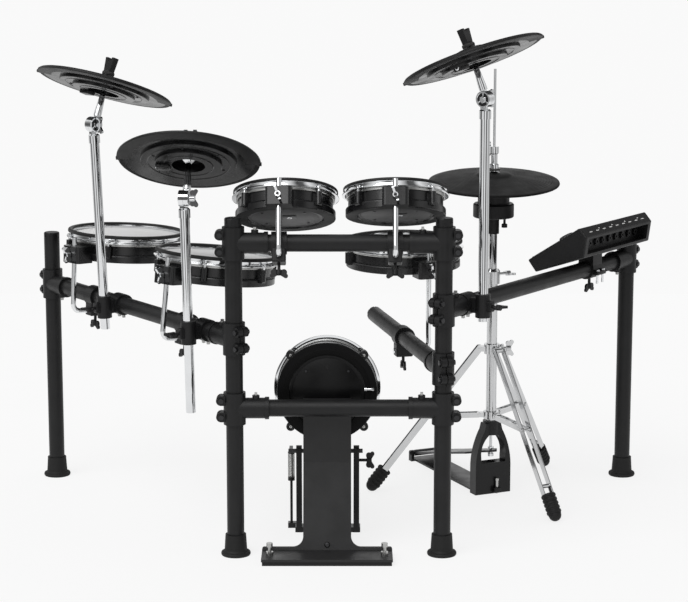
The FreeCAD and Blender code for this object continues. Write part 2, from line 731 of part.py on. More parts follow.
def drum(head_r, lugs, bracket):
    """Mesh pad about Z with the shell's bottom at Z = 0; the rod passes on the -Y side."""
    shell_r = head_r + SHELL_OVER_HEAD
    base_r = shell_r + BASE_RING_OUT
    recess_r = shell_r * RECESS_SHARE_R
    inner_r = shell_r - SHELL_WALL
    edge = SHELL_HEIGHT
    floor_top = FLOOR_RECESS + FLOOR_T
    shell = revolved([(0, FLOOR_RECESS), (recess_r, FLOOR_RECESS), (recess_r + 2, 0), (base_r - 2, 0),
                      ((base_r - 0.6, 0.6), (base_r, 2)), (base_r, BASE_RING_H - EDGE_ROUND),
                      ((base_r - 1, BASE_RING_H), (shell_r, BASE_RING_H + 2)), (shell_r, edge - EDGE_ROUND),
                      ((shell_r - 0.9, edge - 0.9), (shell_r - EDGE_ROUND, edge)), (inner_r, edge - 4),
                      (inner_r, floor_top), (0, floor_top)])
    plate = Part.makeCylinder(CONE_R, SENSOR_T, V(0, 0, floor_top))
    cone_low = floor_top + SENSOR_T
    tip = edge - GAP
    cone = revolved([(0, cone_low), (CONE_R, cone_low), (CONE_R * CONE_TIP_SHARE, tip), (0, tip)])
    head_top = edge + HEAD_T
    flesh_in = shell_r + GAP
    flesh_low = edge - FLESH_DROP
    flesh_top = flesh_low + FLESH_H
    skirt_r = flesh_in + HEAD_T
    head = revolved([(0, edge), (shell_r, edge), (flesh_in, edge - 1), (flesh_in, flesh_low),
                     (flesh_in + FLESH_T, flesh_low), (flesh_in + FLESH_T, flesh_top), (skirt_r, flesh_top),
                     (skirt_r, edge - 0.4), ((skirt_r - 0.5, edge + 0.8), (shell_r - 1, head_top)),
                     (0, head_top)])
    hoop_in = skirt_r + GAP
    hoop_out = hoop_in + HOOP_T
    hoop_low = flesh_top
    hoop_top = hoop_low + HOOP_RISE
    lip_r = hoop_in + HOOP_LIP
    hoop = revolved([(hoop_in, hoop_low), (hoop_in + HOOP_FLANGE, hoop_low),
                     (hoop_in + HOOP_FLANGE, hoop_low + HOOP_T), (hoop_out + 1, hoop_low + HOOP_T),
                     (hoop_out, hoop_low + HOOP_T + 1), (hoop_out, hoop_top - HOOP_T - 1),
                     (hoop_out + 1, hoop_top - HOOP_T), (lip_r, hoop_top - HOOP_T), (lip_r, hoop_top),
                     (hoop_in, hoop_top)])
    rim_in = hoop_in - RIM_T
    rim_out = lip_r + RIM_T
    rim_low = hoop_top - RIM_H
    rim = revolved([(rim_in, rim_low + 2), (hoop_in, rim_low + 2), (hoop_in, hoop_top), (lip_r, hoop_top),
                    (lip_r, rim_low), (rim_out, rim_low), (rim_out, hoop_top),
                    (((rim_in + rim_out) / 2, hoop_top + RIM_T * 1.6), (rim_in, hoop_top))])
    screw_r = hoop_out + 1 + KEY_HEAD_R + GAP
    lug_low = flesh_low - GAP - LUG_HEIGHT
    screw_low = lug_low + LUG_HEIGHT / 2
    lug = lug_block(shell_r, base_r, screw_r, lug_low)
    screw = put(key_screw(hoop_low + HOOP_T - screw_low), shifted(screw_r, 0, screw_low))
    shells = [shell, plate, cone]
    screws = []
    for i in range(lugs):
        turn = spun(EZ, -90 + (i + 0.5) * 360.0 / lugs)
        hoop = hoop.cut(put(rod(V(screw_r, 0, 0), V(screw_r, 0, edge * 2), TENSION_R + FIT), turn))
        shells.append(put(lug, turn))
        screws.append(put(screw, turn))
    if bracket:
        shells += drum_bracket(shell_r, base_r)
    return shells, [hoop, rim] + screws, [head]


def lug_block(shell_r, base_r, screw_r, low):
    """Tapered lug on the shell's wall with the bore for its tension screw."""
    half = LUG_WIDTH / 2
    out = screw_r + LUG_COVER
    high = low + LUG_HEIGHT
    root = shell_r - LUG_ROOT
    nose = out - LUG_NOSE
    side = prism([(root, low), (nose - 1, low), ((out - 1.5, low + 3), (out, low + LUG_NOSE * 2)), (out, high),
                  (root, high)], LUG_WIDTH)
    plan = prism([(root, -half), (nose, 2 - half), ((out, 0), (nose, half - 2)), (root, half)], high * 4)
    block = put(side, spun(EX, 90)).common(plan).cut(shell_wall(shell_r, base_r, 0))
    return block.cut(rod(V(screw_r, 0, low + LUG_HEIGHT / 2), V(screw_r, 0, high * 2), TENSION_R + FIT))


def drum_bracket(shell_r, base_r):
    """Box bracket on the shell's side: it grips the rod, and a wing screw tightens it."""
    half = BRACKET_WIDTH / 2
    low = -BRACKET_DROP
    high = low + BRACKET_HEIGHT
    middle = (low + high) / 2
    rod_y = -(shell_r + BRACKET_REACH)
    front = rod_y - BRACKET_FRONT
    back = -shell_r * 0.9
    side = BRACKET_CORNER
    nick = side * (1 - math.cos(PI / 4))
    block = prism([(-half, back), (-half, front + side), ((nick - half, front + nick), (side - half, front)),
                   (half - side, front), ((half - nick, front + nick), (half, front + side)), (half, back)],
                  BRACKET_HEIGHT)
    block = put(block, shifted(0, 0, middle)).cut(shell_wall(shell_r, base_r, low - 1))
    block = block.cut(rod(V(0, rod_y, low - 1), V(0, rod_y, high + 1), ROD_R + FIT))
    tip = rod_y - ROD_R - GAP
    block = block.cut(rod(V(0, front - 1, middle), V(0, tip, middle), TENSION_R + FIT))
    lean = math.radians(BRACKET_WING_LEAN)
    wings_along = V(-math.sin(lean), 0, math.cos(lean))
    screw = wing_screw(tip - front + BRACKET_WING_OUT, TENSION_R)
    screw = put(screw, frame(V(0, tip, middle), wings_along, EY * -1))
    return [block, screw]


BRACKET_MIDDLE = BRACKET_HEIGHT / 2 - BRACKET_DROP

# Each drum pad: point on its bar, side away from the drum, tilt, rod offset, bracket rise, turn
# about the rod, head radius and lugs
DRUMS = {
    "rack_tom_1": (V(RACK_TOM_1_X, 0, UPPER_BAR_Z), EY * -1, RACK_TOM_1_TILT, RACK_ROD_OFFSET,
                   RACK_TOM_RISE, RACK_TOM_1_TURN, SMALL_HEAD_R, SMALL_LUGS),
    "rack_tom_2": (V(RACK_TOM_2_X, 0, UPPER_BAR_Z), EY * -1, RACK_TOM_2_TILT, RACK_ROD_OFFSET,
                   RACK_TOM_RISE, RACK_TOM_2_TURN, SMALL_HEAD_R, SMALL_LUGS),
    "floor_tom_1": (LEFT_PIVOT + LEFT_DIR * FLOOR_TOM_1_S, LEFT_OUT, FLOOR_TOM_1_TILT, WING_ROD_OFFSET,
                    FLOOR_TOM_1_RISE, FLOOR_TOM_1_TURN, LARGE_HEAD_R, LARGE_LUGS),
    "floor_tom_2": (LEFT_PIVOT + LEFT_DIR * FLOOR_TOM_2_S, LEFT_OUT, FLOOR_TOM_2_TILT, WING_ROD_OFFSET,
                    FLOOR_TOM_2_RISE, FLOOR_TOM_2_TURN, LARGE_HEAD_R, LARGE_LUGS),
    "snare": (SNARE_PIVOT + SNARE_DIR * SNARE_S, SNARE_OUT, SNARE_TILT, WING_ROD_OFFSET,
              SNARE_RISE, SNARE_TURN, LARGE_HEAD_R, LARGE_LUGS),
}


def drum_frames(name):
    """Frames of a drum's mount on its bar and of the drum on its rod."""
    point, out, tilt, rod_offset, rise, turn, head_r, _ = DRUMS[name]
    mount = mount_place(point, out, tilt)
    reach = head_r + SHELL_OVER_HEAD + BRACKET_REACH
    on_rod = mount.multiply(shifted(0, -rod_offset, rise)).multiply(spun(EZ, turn))
    return mount, on_rod.multiply(shifted(0, reach, -BRACKET_MIDDLE))


def drums():
    for name, (_, _, _, rod_offset, rise, _, head_r, lugs) in DRUMS.items():
        mount, place = drum_frames(name)
        shells, hoops, heads = drum(head_r, lugs, True)
        nodes[name + "_mount"] = put_all(drum_mount(rod_offset, rise + ROD_ABOVE_BRACKET), mount)
        nodes[name + "_shell"] = put_all(shells, place)
        nodes[name + "_hoop"] = put_all(hoops, place)
        nodes[name + "_head"] = put_all(heads, place)


# Cymbals

def cymbal_pad(radius, terrace):
    """Rubber pad on a plastic plate with two terraces below; its hub turns on a ball at the origin."""
    waist = radius * PAD_WAIST_SHARE
    lip = radius - PAD_LIP
    edge_top = 2.5 - PAD_EDGE_DROP
    under = -PAD_EDGE_DROP - RUBBER_T
    bell_mid = ((BELL_TOP_R + BELL_R) / 2 + 2, HUB_HALF - 2.6)
    socket_r = BALL_R + GAP
    mouth = math.sqrt(socket_r ** 2 - HUB_HALF ** 2)
    low_bell = (bell_mid[0], bell_mid[1] - RUBBER_T)
    seam = [(BELL_BORE_R, HUB_HALF - RUBBER_T), (BELL_TOP_R, HUB_HALF - RUBBER_T),
            (low_bell, (BELL_R, 1 - RUBBER_T)), (waist, -PAD_WAIST_DROP - RUBBER_T),
            (lip, -PAD_EDGE_DROP - 0.5)]
    back_seam = [(lip, -PAD_EDGE_DROP - 0.5), (waist, -PAD_WAIST_DROP - RUBBER_T), (BELL_R, 1 - RUBBER_T),
                 (low_bell, (BELL_TOP_R, HUB_HALF - RUBBER_T)), (BELL_BORE_R, HUB_HALF - RUBBER_T)]
    rubber = revolved([(BELL_BORE_R, HUB_HALF), (BELL_TOP_R, HUB_HALF), (bell_mid, (BELL_R, 1)),
                       (waist, -PAD_WAIST_DROP), (radius - 3, edge_top),
                       ((radius - 0.4, edge_top - 1.6), (radius, edge_top - 4)), (radius - 1, under),
                       (lip, under)] + back_seam)
    first = -PAD_STEP_DROP
    second = first - terrace
    third = second - terrace
    cup_in = PAD_CUP_R - RUBBER_T
    plate = revolved([(mouth, HUB_HALF), (BELL_BORE_R, HUB_HALF)] + seam
                     + [(lip, under - 0.5), (PAD_STEP_R, first), (PAD_STEP_R - 1, second),
                        (PAD_INNER_R, second), (PAD_INNER_R - 1, third), (PAD_CUP_R, third),
                        (cup_in, -HUB_HALF - RUBBER_T), (SEAT_R + JACK_BELOW, -HUB_HALF), (mouth, -HUB_HALF),
                        ((socket_r, 0), (mouth, HUB_HALF))])
    jack_x = PAD_CUP_R + RUBBER_T
    jack_low = third - JACK_BELOW
    jack = rounded_box(jack_x, jack_x + JACK_LENGTH, -JACK_WIDTH / 2, JACK_WIDTH / 2,
                       jack_low, -PAD_WAIST_DROP - RUBBER_T, 3)
    hole_z = jack_low + JACK_BELOW
    hole_x = jack_x + JACK_LENGTH / 2
    jack = jack.cut(rod(V(hole_x, 0, hole_z), V(hole_x + JACK_LENGTH, 0, hole_z), JACK_HOLE_R))
    return [rubber, fused([plate, jack])]


def ball_outline(neck, bore):
    """Outline points of a bored ball at the origin, from its neck below to its bore above."""
    top = math.sqrt(BALL_R ** 2 - bore ** 2)
    return [(neck, -math.sqrt(BALL_R ** 2 - neck ** 2)), ((BALL_R, 0), (bore, top))]


def wing_nut():
    """Tall flat-sided nut with a notched top, its foot at the origin, bored for the cymbal rod."""
    foot = Part.makeCylinder(NUT_FOOT_R + 1, FELT_H / 2, V(0, 0, 0))
    notch_half = NUT_TOP_R - NUT_NOTCH
    body = prism([(-NUT_FOOT_R, 0), (NUT_FOOT_R, 0), (NUT_TOP_R, NUT_HEIGHT), (notch_half, NUT_HEIGHT),
                  ((0, NUT_HEIGHT - NUT_NOTCH), (-notch_half, NUT_HEIGHT)), (-NUT_TOP_R, NUT_HEIGHT)],
                 NUT_DEPTH)
    nut = fused([foot, put(body, spun(EX, 90))])
    return nut.cut(Part.makeCylinder(CYMBAL_ROD_R + FIT, CYMBAL_ROD_PAST - BALL_R - FELT_H + GAP, V(0, 0, 0)))


def arm_head(tube_length):
    """Chrome arm with its half of the tilter, hinge at the origin and hinge axis along X."""
    ferrule_top = -TILTER_R - 3
    ferrule_low = ferrule_top - FERRULE_LENGTH
    ferrule_r = ARM_R + FERRULE_WALL
    stem = tube(V(0, 0, -tube_length), V(0, 0, ferrule_low), ARM_R, ARM_WALL)
    ferrule = revolved([(0, ferrule_low), (ferrule_r, ferrule_low), (ferrule_r, ferrule_top - 4),
                        (ferrule_r - 4, ferrule_top), (0, ferrule_top)])
    plug = Part.makeCylinder(ARM_R - ARM_WALL - FIT, FERRULE_LENGTH, V(0, 0, ferrule_low - FERRULE_LENGTH))
    cheek = Part.makeCylinder(TILTER_R, TILTER_T - GAP / 2, V(GAP / 2, 0, 0), EX)
    neck = box(GAP / 2, TILTER_T - 1, -TILTER_NECK - 2, TILTER_NECK + 2, ferrule_top - 1, 0)
    screw = put(wing_screw(TILTER_T + GAP + 6, CYMBAL_ROD_R), frame(V(0, 0, 0), EZ, EX * -1))
    pin = rod(V(0, 0, 0), V(TILTER_T + 4, 0, 0), CYMBAL_ROD_R)
    return [stem, fused([ferrule, plug, neck, cheek, pin, screw])]


def tilter():
    """Moving half of the tilter with the cymbal rod, seat, felt and nut; the rod runs along Z."""
    x = -TILTER_T / 2
    stem_low = TILTER_R + 2
    seat_low = -BALL_R - SEAT_H
    cheek = Part.makeCylinder(TILTER_R, TILTER_T - GAP / 2, V(-TILTER_T, 0, 0), EX)
    neck = box(-TILTER_T, -GAP / 2, -TILTER_NECK, TILTER_NECK, 0, stem_low + TILTER_NECK)
    stem = revolved([(0, stem_low), (STEM_LOW_R, stem_low), (STEM_LOW_R, stem_low + STEM_LOW_R),
                     (STEM_TOP_R, TILTER_REACH + seat_low), (0, TILTER_REACH + seat_low)])
    spindle = rod(V(x, 0, TILTER_R), V(x, 0, TILTER_REACH + CYMBAL_ROD_PAST), CYMBAL_ROD_R)
    body = fused([cheek, neck, put(stem, shifted(x, 0, 0)), spindle])
    body = body.cut(rod(V(-TILTER_T * 2, 0, 0), V(TILTER_T, 0, 0), CYMBAL_ROD_R + FIT))
    bore = CYMBAL_ROD_R + FIT
    seat_top = -BALL_R - 0.5
    ball = revolved([(bore, seat_low), (STEM_TOP_R + 2, seat_low), (SEAT_R, seat_top - SEAT_H / 2),
                     (SEAT_R, seat_top), (BALL_NECK_R, seat_top)] + ball_outline(BALL_NECK_R, bore))
    felt = tube(V(0, 0, BALL_R - 0.5), V(0, 0, BALL_R + FELT_H), FELT_R, FELT_R - bore)
    nut = put(wing_nut(), shifted(0, 0, BALL_R + FELT_H))
    return [body] + put_all([ball, felt, nut], shifted(x, 0, TILTER_REACH))


# Each cymbal: wing pivot, wing direction, outward side, place along the bar, outward lean of the arm,
# arm's end below the bar, hinge above the bar, lean towards the drummer and to the audience's right
CYMBALS = {
    "crash_left": (LEFT_PIVOT, LEFT_DIR, LEFT_OUT, CRASH_LEFT_S, CRASH_LEFT_ARM_LEAN, CRASH_LEFT_ARM_DROP,
                   CRASH_LEFT_RISE, CRASH_LEFT_LEAN, CRASH_LEFT_ROLL),
    "ride": (LEFT_PIVOT, LEFT_DIR, LEFT_OUT, RIDE_S, RIDE_ARM_LEAN, RIDE_ARM_DROP,
             RIDE_RISE, RIDE_LEAN, RIDE_ROLL),
    "crash_right": (RIGHT_PIVOT, RIGHT_DIR, RIGHT_OUT, CRASH_RIGHT_S, CRASH_RIGHT_ARM_LEAN, CRASH_RIGHT_ARM_DROP,
                    CRASH_RIGHT_RISE, CRASH_RIGHT_LEAN, CRASH_RIGHT_ROLL),
}


def cymbal_frames(name):
    """Frames of the clamp on the bar, of the arm, of the tilter and of the pad."""
    pivot, direction, out, along, arm_lean, _, rise, lean, roll = CYMBALS[name]
    clamp = frame(pivot + direction * along, out.cross(EZ), EZ).multiply(spun(EX, -arm_lean))
    up = clamp.Rotation.multVec(EZ)
    hinge = clamp.multVec(V(0, ARM_OFFSET, rise))
    normal = V(math.tan(math.radians(roll)), math.tan(math.radians(lean)), 1)
    axis = up.cross(normal)
    leaning = frame(hinge, axis, normal)
    return clamp, frame(hinge, axis, up), leaning, leaning.multiply(shifted(-TILTER_T / 2, 0, TILTER_REACH))


def cymbals():
    pad = cymbal_pad(CYMBAL_R, CYMBAL_TERRACE)
    for name, (_, _, _, _, _, drop, rise, _, _) in CYMBALS.items():
        _, arm, leaning, seat = cymbal_frames(name)
        nodes[name + "_arm"] = put_all(arm_head(rise + drop), arm)
        nodes[name + "_tilter"] = put_all(tilter(), leaning)
        nodes[name + "_pad"] = put_all(pad, seat)


def snare_arm():
    end = SNARE_PIVOT + SNARE_DIR * SNARE_BAR_LENGTH
    bar = rack_tube(SNARE_PIVOT + SNARE_DIR * BAR_START, end)
    fittings = rack_clamp(frame(SNARE_PIVOT, SNARE_DIR, EZ))
    nodes["snare_arm"] = [bar] + fittings + [tube_cap(frame(end, EZ, SNARE_DIR))]


# Hi-hat stand

HIHAT = FreeCAD.Placement(V(HIHAT_X, HIHAT_Y, 0), FreeCAD.Rotation(EZ, HIHAT_PEDAL_ANGLE))
UPRIGHT = frame(V(0, 0, 0), EY, EX)


def footboard(length, toe_hole):
    """Pedal plate along +X from its hinge at the origin to a tongue at the toe, top face on +Z."""
    half = BOARD_WIDTH / 2
    tongue = TOE_TONGUE_W / 2
    end = length + TOE_TONGUE_PAST
    narrow = length - TOE_SHOULDER / 2 + 1
    shoulder = length - TOE_SHOULDER
    heel = half - BOARD_HEEL_INSET
    plan = [(0, -heel), (length * 0.55, -half), (shoulder, -half), ((shoulder + 22, -heel), (narrow - 2, -24)),
            (narrow, -tongue), (end, -tongue), ((end + 6, 0), (end, tongue)), (narrow, tongue),
            (narrow - 2, 24), ((shoulder + 22, heel), (shoulder, half)), (length * 0.55, half), (0, heel)]
    board = prism(plan, BOARD_T)
    barrel = rod(V(0, 3 - heel, 0), V(0, heel - 3, 0), HINGE_R)
    body = fused([board, barrel])
    body = body.cut(rod(V(0, -half * 2, 0), V(0, half * 2, 0), HINGE_PIN_R + FIT))
    through = BOARD_T * 4
    slot = fused([rod(V(length, 0, -through), V(length, 0, through), toe_hole),
                  rod(V(length - TOE_SLOT, 0, -through), V(length - TOE_SLOT, 0, through), toe_hole),
                  box(length - TOE_SLOT, length, -toe_hole, toe_hole, -through, through)])
    return body.cut(slot)


def heel_block(hinge_x, hinge_z):
    """Two hinge lugs and their pin on a pedal's base, hinge along Y."""
    half = BOARD_WIDTH / 2 - BOARD_HEEL_INSET + GAP + 1
    outer = half + HINGE_LUG_T
    front = hinge_x - HINGE_R
    back = hinge_x + HINGE_R
    lugs = []
    for y0 in (half, -outer):
        lugs.append(box(front, back, y0, y0 + HINGE_LUG_T, BASE_T, hinge_z))
        lugs.append(rod(V(hinge_x, y0, hinge_z), V(hinge_x, y0 + HINGE_LUG_T, hinge_z), HINGE_R))
    foot = box(front, back, -outer, outer, 0, BASE_T)
    pin = rod(V(hinge_x, -outer - 2, hinge_z), V(hinge_x, outer + 2, hinge_z), HINGE_PIN_R)
    return lugs + [foot, pin]


def hihat_casting():
    """Arch of the hi-hat's pedal frame with its base, heel hinge and the bore for the tube and rod."""
    half = CASTING_WIDTH / 2
    inner = half - CASTING_RIB
    knee = CASTING_SOLID - CASTING_SHOULDER
    neck = (CASTING_HUB_R + 4, CASTING_TOP - 16)
    bow = (half - 10, (knee + CASTING_TOP) / 2 + 4)
    arch = prism([(-half, 0), (-half, knee), ((-bow[0], bow[1]), (-neck[0], neck[1])),
                  (-CASTING_HUB_R, CASTING_TOP), (CASTING_HUB_R, CASTING_TOP), neck, (bow, (half, knee)),
                  (half, 0)], CASTING_DEPTH)
    sill = CASTING_SOLID
    jamb = sill + CASTING_SOCKET
    lintel = (CASTING_HUB_R - 9, CASTING_TOP - CASTING_HUB_LOW)
    curve = (inner - 8, lintel[1] - 16)
    window = prism([(-inner, sill), (-inner, jamb), ((-curve[0], curve[1]), (-lintel[0], lintel[1])), lintel,
                    (curve, (inner, jamb)), (inner, sill)], CASTING_DEPTH * 2)
    hub = rod(V(0, 0, CASTING_TOP - CASTING_HUB_LOW), V(0, 0, CASTING_TOP + CASTING_HUB_TOP), CASTING_HUB_R)
    base = box(0, HIHAT_HEEL + BASE_PAST_HEEL, BASE_INSET - half, half - BASE_INSET, 0, BASE_T)
    casting = fused([put(arch.cut(window), UPRIGHT), hub, base] + heel_block(HIHAT_HEEL, HIHAT_HEEL_Z))
    casting = casting.cut(rod(V(0, 0, CASTING_SOLID), V(0, 0, CASTING_TOP * 2), HIHAT_ROD_R + CLEARANCE))
    socket = rod(V(0, 0, CASTING_TOP - CASTING_SOCKET), V(0, 0, CASTING_TOP * 2), HIHAT_LOWER_R + FIT)
    well = rod(V(0, 0, CASTING_SOLID - CASTING_WELL), V(0, 0, CASTING_SOLID + 1), CASTING_WELL_R)
    return casting.cut(socket).cut(well)


def hihat_stand():
    collar = leg_collar(BRACE_COLLAR_Z, BRACE_LUG, BRACE_COLLAR_HALF)
    nodes["hihat_base"] = put_all([hihat_casting()] + collar, HIHAT)
    top = HIHAT_LOWER_TOP
    lower = tube(V(0, 0, CASTING_TOP - CASTING_SOCKET), V(0, 0, top), HIHAT_LOWER_R, HIHAT_TUBE_WALL)
    upper = tube(V(0, 0, top - UPPER_TUBE_INSIDE), V(0, 0, CONTROLLER_Z + CONTROLLER_SOCKET), HIHAT_UPPER_R,
                 HIHAT_TUBE_WALL)
    bore = HIHAT_UPPER_R + FIT
    plug = HIHAT_LOWER_R - HIHAT_TUBE_WALL - FIT
    grip = HIHAT_LOWER_R + FIT
    wide = HIHAT_LOWER_R + HEIGHT_CLAMP_WALL
    rim = top + HEIGHT_CLAMP_RISE
    sleeve = revolved([(bore, top - HEIGHT_CLAMP_PLUG), (plug, top - HEIGHT_CLAMP_PLUG), (plug, top),
                       (grip, top), (grip, top - HEIGHT_CLAMP_GRIP), (wide, top - HEIGHT_CLAMP_GRIP),
                       (wide, rim - 6), (bore + HEIGHT_CLAMP_WALL - 1, rim), (bore, rim)])
    screw_z = top + HEIGHT_CLAMP_RISE / 2 - 3
    screw_place = frame(V(0, -HIHAT_UPPER_R - GAP, screw_z), EX, EY * -1)
    screw = put(wing_screw(HEIGHT_SCREW_LENGTH, SCREW_R), screw_place)
    sleeve = sleeve.cut(rod(V(0, 0, screw_z), V(0, -wide * 2, screw_z), SCREW_R + FIT))
    nodes["hihat_tubes"] = put_all([lower, upper, sleeve, screw], HIHAT)
    nodes["hihat_controller"] = put_all(hihat_controller(), HIHAT)


def hihat_controller():
    """Round controller under the hi-hat pad, with the knob of its clamp."""
    bore = HIHAT_ROD_R + GAP
    low = CONTROLLER_Z
    disc_top = low + CONTROLLER_H
    cup = revolved([(bore, low - CONTROLLER_NECK), (CONTROLLER_NECK_R, low - CONTROLLER_NECK),
                    (CONTROLLER_NECK_R, low - 6), (CONTROLLER_NECK_R + 4, low), (CONTROLLER_R - 4, low),
                    ((CONTROLLER_R - 1, low + 1), (CONTROLLER_R, low + 4)), (CONTROLLER_R, disc_top - 3),
                    (CONTROLLER_R - 3, disc_top), (CONTROLLER_DRUM_R, disc_top),
                    (CONTROLLER_DRUM_R, CONTROLLER_TOP - 2), (CONTROLLER_DRUM_R - 2, CONTROLLER_TOP),
                    (bore, CONTROLLER_TOP)])
    socket = V(0, 0, low + CONTROLLER_SOCKET)
    cup = cup.cut(rod(V(0, 0, low - CONTROLLER_NECK * 2), socket, HIHAT_UPPER_R + FIT))
    long = CONTROLLER_KNOB_H
    knob = revolved([(0, -long), (CONTROLLER_KNOB_R, -long), (CONTROLLER_KNOB_R, 8 - long), (3, 10 - long),
                     (3, 0), (0, 0)])
    return [cup, put(knob, shifted(*CONTROLLER_KNOB_XY, low))]


def hihat_motion():
    """Footboard, pull rod with its clutch, and the hi-hat pad."""
    length = math.hypot(HIHAT_HEEL, HIHAT_TOE_Z - HIHAT_HEEL_Z)
    toe = V(-HIHAT_HEEL, 0, HIHAT_TOE_Z - HIHAT_HEEL_Z)
    on_heel = frame(V(HIHAT_HEEL, 0, HIHAT_HEEL_Z), toe, toe.cross(EY))
    nodes["hihat_footboard"] = [put(footboard(length, HIHAT_ROD_R + CLEARANCE), HIHAT.multiply(on_heel))]
    slope = (HIHAT_TOE_Z - HIHAT_HEEL_Z) / HIHAT_HEEL
    nut_gap = BOARD_T / 2 * math.hypot(1, slope) + HIHAT_NUT_R * slope + TOE_PLAY
    low_nut = HIHAT_TOE_Z - nut_gap
    high_nut = HIHAT_TOE_Z + nut_gap
    shaft = rod(V(0, 0, low_nut - HIHAT_NUT_H - 1), V(0, 0, HIHAT_ROD_TOP), HIHAT_ROD_R)
    nuts = [rod(V(0, 0, low_nut - HIHAT_NUT_H), V(0, 0, low_nut), HIHAT_NUT_R),
            rod(V(0, 0, high_nut), V(0, 0, high_nut + HIHAT_NUT_H), HIHAT_NUT_R)]
    seat = HIHAT_PAD_Z
    bore = HIHAT_ROD_R + FIT
    neck = BALL_NECK_R + 1
    ball = revolved([(bore, -BALL_R - RUBBER_T), (neck, -BALL_R - RUBBER_T)] + ball_outline(neck, bore))
    low = seat + BALL_R + FELT_H - 1
    felt = tube(V(0, 0, seat + BALL_R - 0.5), V(0, 0, low), FELT_R, FELT_R - bore)
    top = low + CLUTCH_H
    clutch = revolved([(bore, low), (CLUTCH_R, low), (CLUTCH_R, low + 9), (CLUTCH_WAIST_R, low + 11),
                       (CLUTCH_WAIST_R, top - 18), (CLUTCH_R, top - 16), (CLUTCH_R, top), (bore, top)])
    screw_z = low + CLUTCH_SCREW_UP
    screw = put(wing_screw(CLUTCH_SCREW_LENGTH, SCREW_R), frame(V(HIHAT_ROD_R + GAP, 0, screw_z), EZ, EX))
    clutch = clutch.cut(rod(V(0, 0, screw_z), V(CLUTCH_R * 2, 0, screw_z), SCREW_R + FIT))
    rod_pieces = [fused([shaft] + nuts), put(ball, shifted(0, 0, seat)), felt, clutch, screw]
    nodes["hihat_rod"] = put_all(rod_pieces, HIHAT)
    lean = frame(V(HIHAT_X, HIHAT_Y, HIHAT_PAD_Z), EX, EZ).multiply(spun(EX, HIHAT_PAD_LEAN))
    nodes["hihat_pad"] = put_all(cymbal_pad(HIHAT_PAD_R, HIHAT_TERRACE), lean)


# Folding tripod: all sizes in each leg's own upright plane, radius and height

LEG_LUG = LEG_RAIL_IN - GAP
LEG_TOP = (LEG_PIVOT_R, LEG_COLLAR_Z)
LEG_END = (LEG_SPREAD, LEG_FOOT_R)
LEG_LENGTH = math.dist(LEG_TOP, LEG_END)
LEG_UNIT = ((LEG_END[0] - LEG_TOP[0]) / LEG_LENGTH, (LEG_END[1] - LEG_TOP[1]) / LEG_LENGTH)
BRACE_END = (LEG_TOP[0] + LEG_UNIT[0] * LEG_TO_BRACE, LEG_TOP[1] + LEG_UNIT[1] * LEG_TO_BRACE)
BRACE_TOP = (LEG_PIVOT_R, BRACE_COLLAR_Z)
BRACE_LENGTH = math.dist(BRACE_TOP, BRACE_END)
FOLD = math.radians(LEG_FOLD_ANGLE)
FOLDED_R = LEG_TO_BRACE * math.sin(FOLD)
FOLDED_RISE = math.sqrt(BRACE_LENGTH ** 2 - FOLDED_R ** 2)
COLLAR_TRAVEL = BRACE_COLLAR_Z + FOLDED_RISE + LEG_TO_BRACE * math.cos(FOLD) - LEG_COLLAR_Z
LEG_SWING = math.atan2(LEG_UNIT[0], -LEG_UNIT[1]) - FOLD
BRACE_SLOPE = math.atan2(BRACE_END[1] - BRACE_TOP[1], BRACE_END[0] - BRACE_TOP[0])
BRACE_SWING = math.atan2(FOLDED_RISE, FOLDED_R) - BRACE_SLOPE
LEG_ANGLES = [LEG_FIRST_ANGLE + 360.0 / LEG_COUNT * i for i in range(LEG_COUNT)]


def leg_plane(angle):
    """Frame of one leg's plane on the stand: X points outward, Z up."""
    return FreeCAD.Placement(V(HIHAT_X, HIHAT_Y, 0), FreeCAD.Rotation(EZ, angle))


def leg_collar(z, lug_half, half_height):
    """Collar on the stand's tube with one pinned lug per leg, in the pedal's frame."""
    wall = LEG_COLLAR_WALL
    ring = tube(V(0, 0, z - half_height), V(0, 0, z + half_height), HIHAT_LOWER_R + wall, wall - FIT)
    pieces = [ring]
    reach = LEG_PIVOT_R
    pin = lug_half + LEG_PIN_PAST
    for angle in LEG_ANGLES:
        lug = fused([box(HIHAT_LOWER_R + wall / 2, reach, -lug_half, lug_half, z - LEG_LUG_R, z + LEG_LUG_R),
                     rod(V(reach, -lug_half, z), V(reach, lug_half, z), LEG_LUG_R),
                     rod(V(reach, -pin, z), V(reach, pin, z), LEG_PIN_R)])
        pieces.append(put(lug, spun(EZ, angle - HIHAT_PEDAL_ANGLE)))
    return [fused(pieces)]


def strap(start, end, width, y0, y1):
    """Flat bar with round ends in a leg's plane, between two (radius, height) points."""
    length = math.dist(start, end)
    half = width / 2
    plate = prism([(0, -half), (length, -half), ((length + half, 0), (length, half)), (0, half),
                   ((-half, 0), (0, -half))], y1 - y0)
    along = V(end[0] - start[0], 0, end[1] - start[1])
    return put(plate, frame(V(start[0], (y0 + y1) / 2, start[1]), along, EY * -1))


def cross_rod(point, y0, y1, radius):
    """Rod across a leg's plane through a (radius, height) point."""
    return rod(V(point[0], y0, point[1]), V(point[0], y1, point[1]), radius)


def pin_hole(point):
    return cross_rod(point, -LEG_RAIL_W * 2, LEG_RAIL_W * 2, LEG_PIN_R + FIT)


def up_leg(length):
    """Point of a leg's middle line at a length above its end."""
    return (LEG_END[0] - LEG_UNIT[0] * length, LEG_END[1] - LEG_UNIT[1] * length)


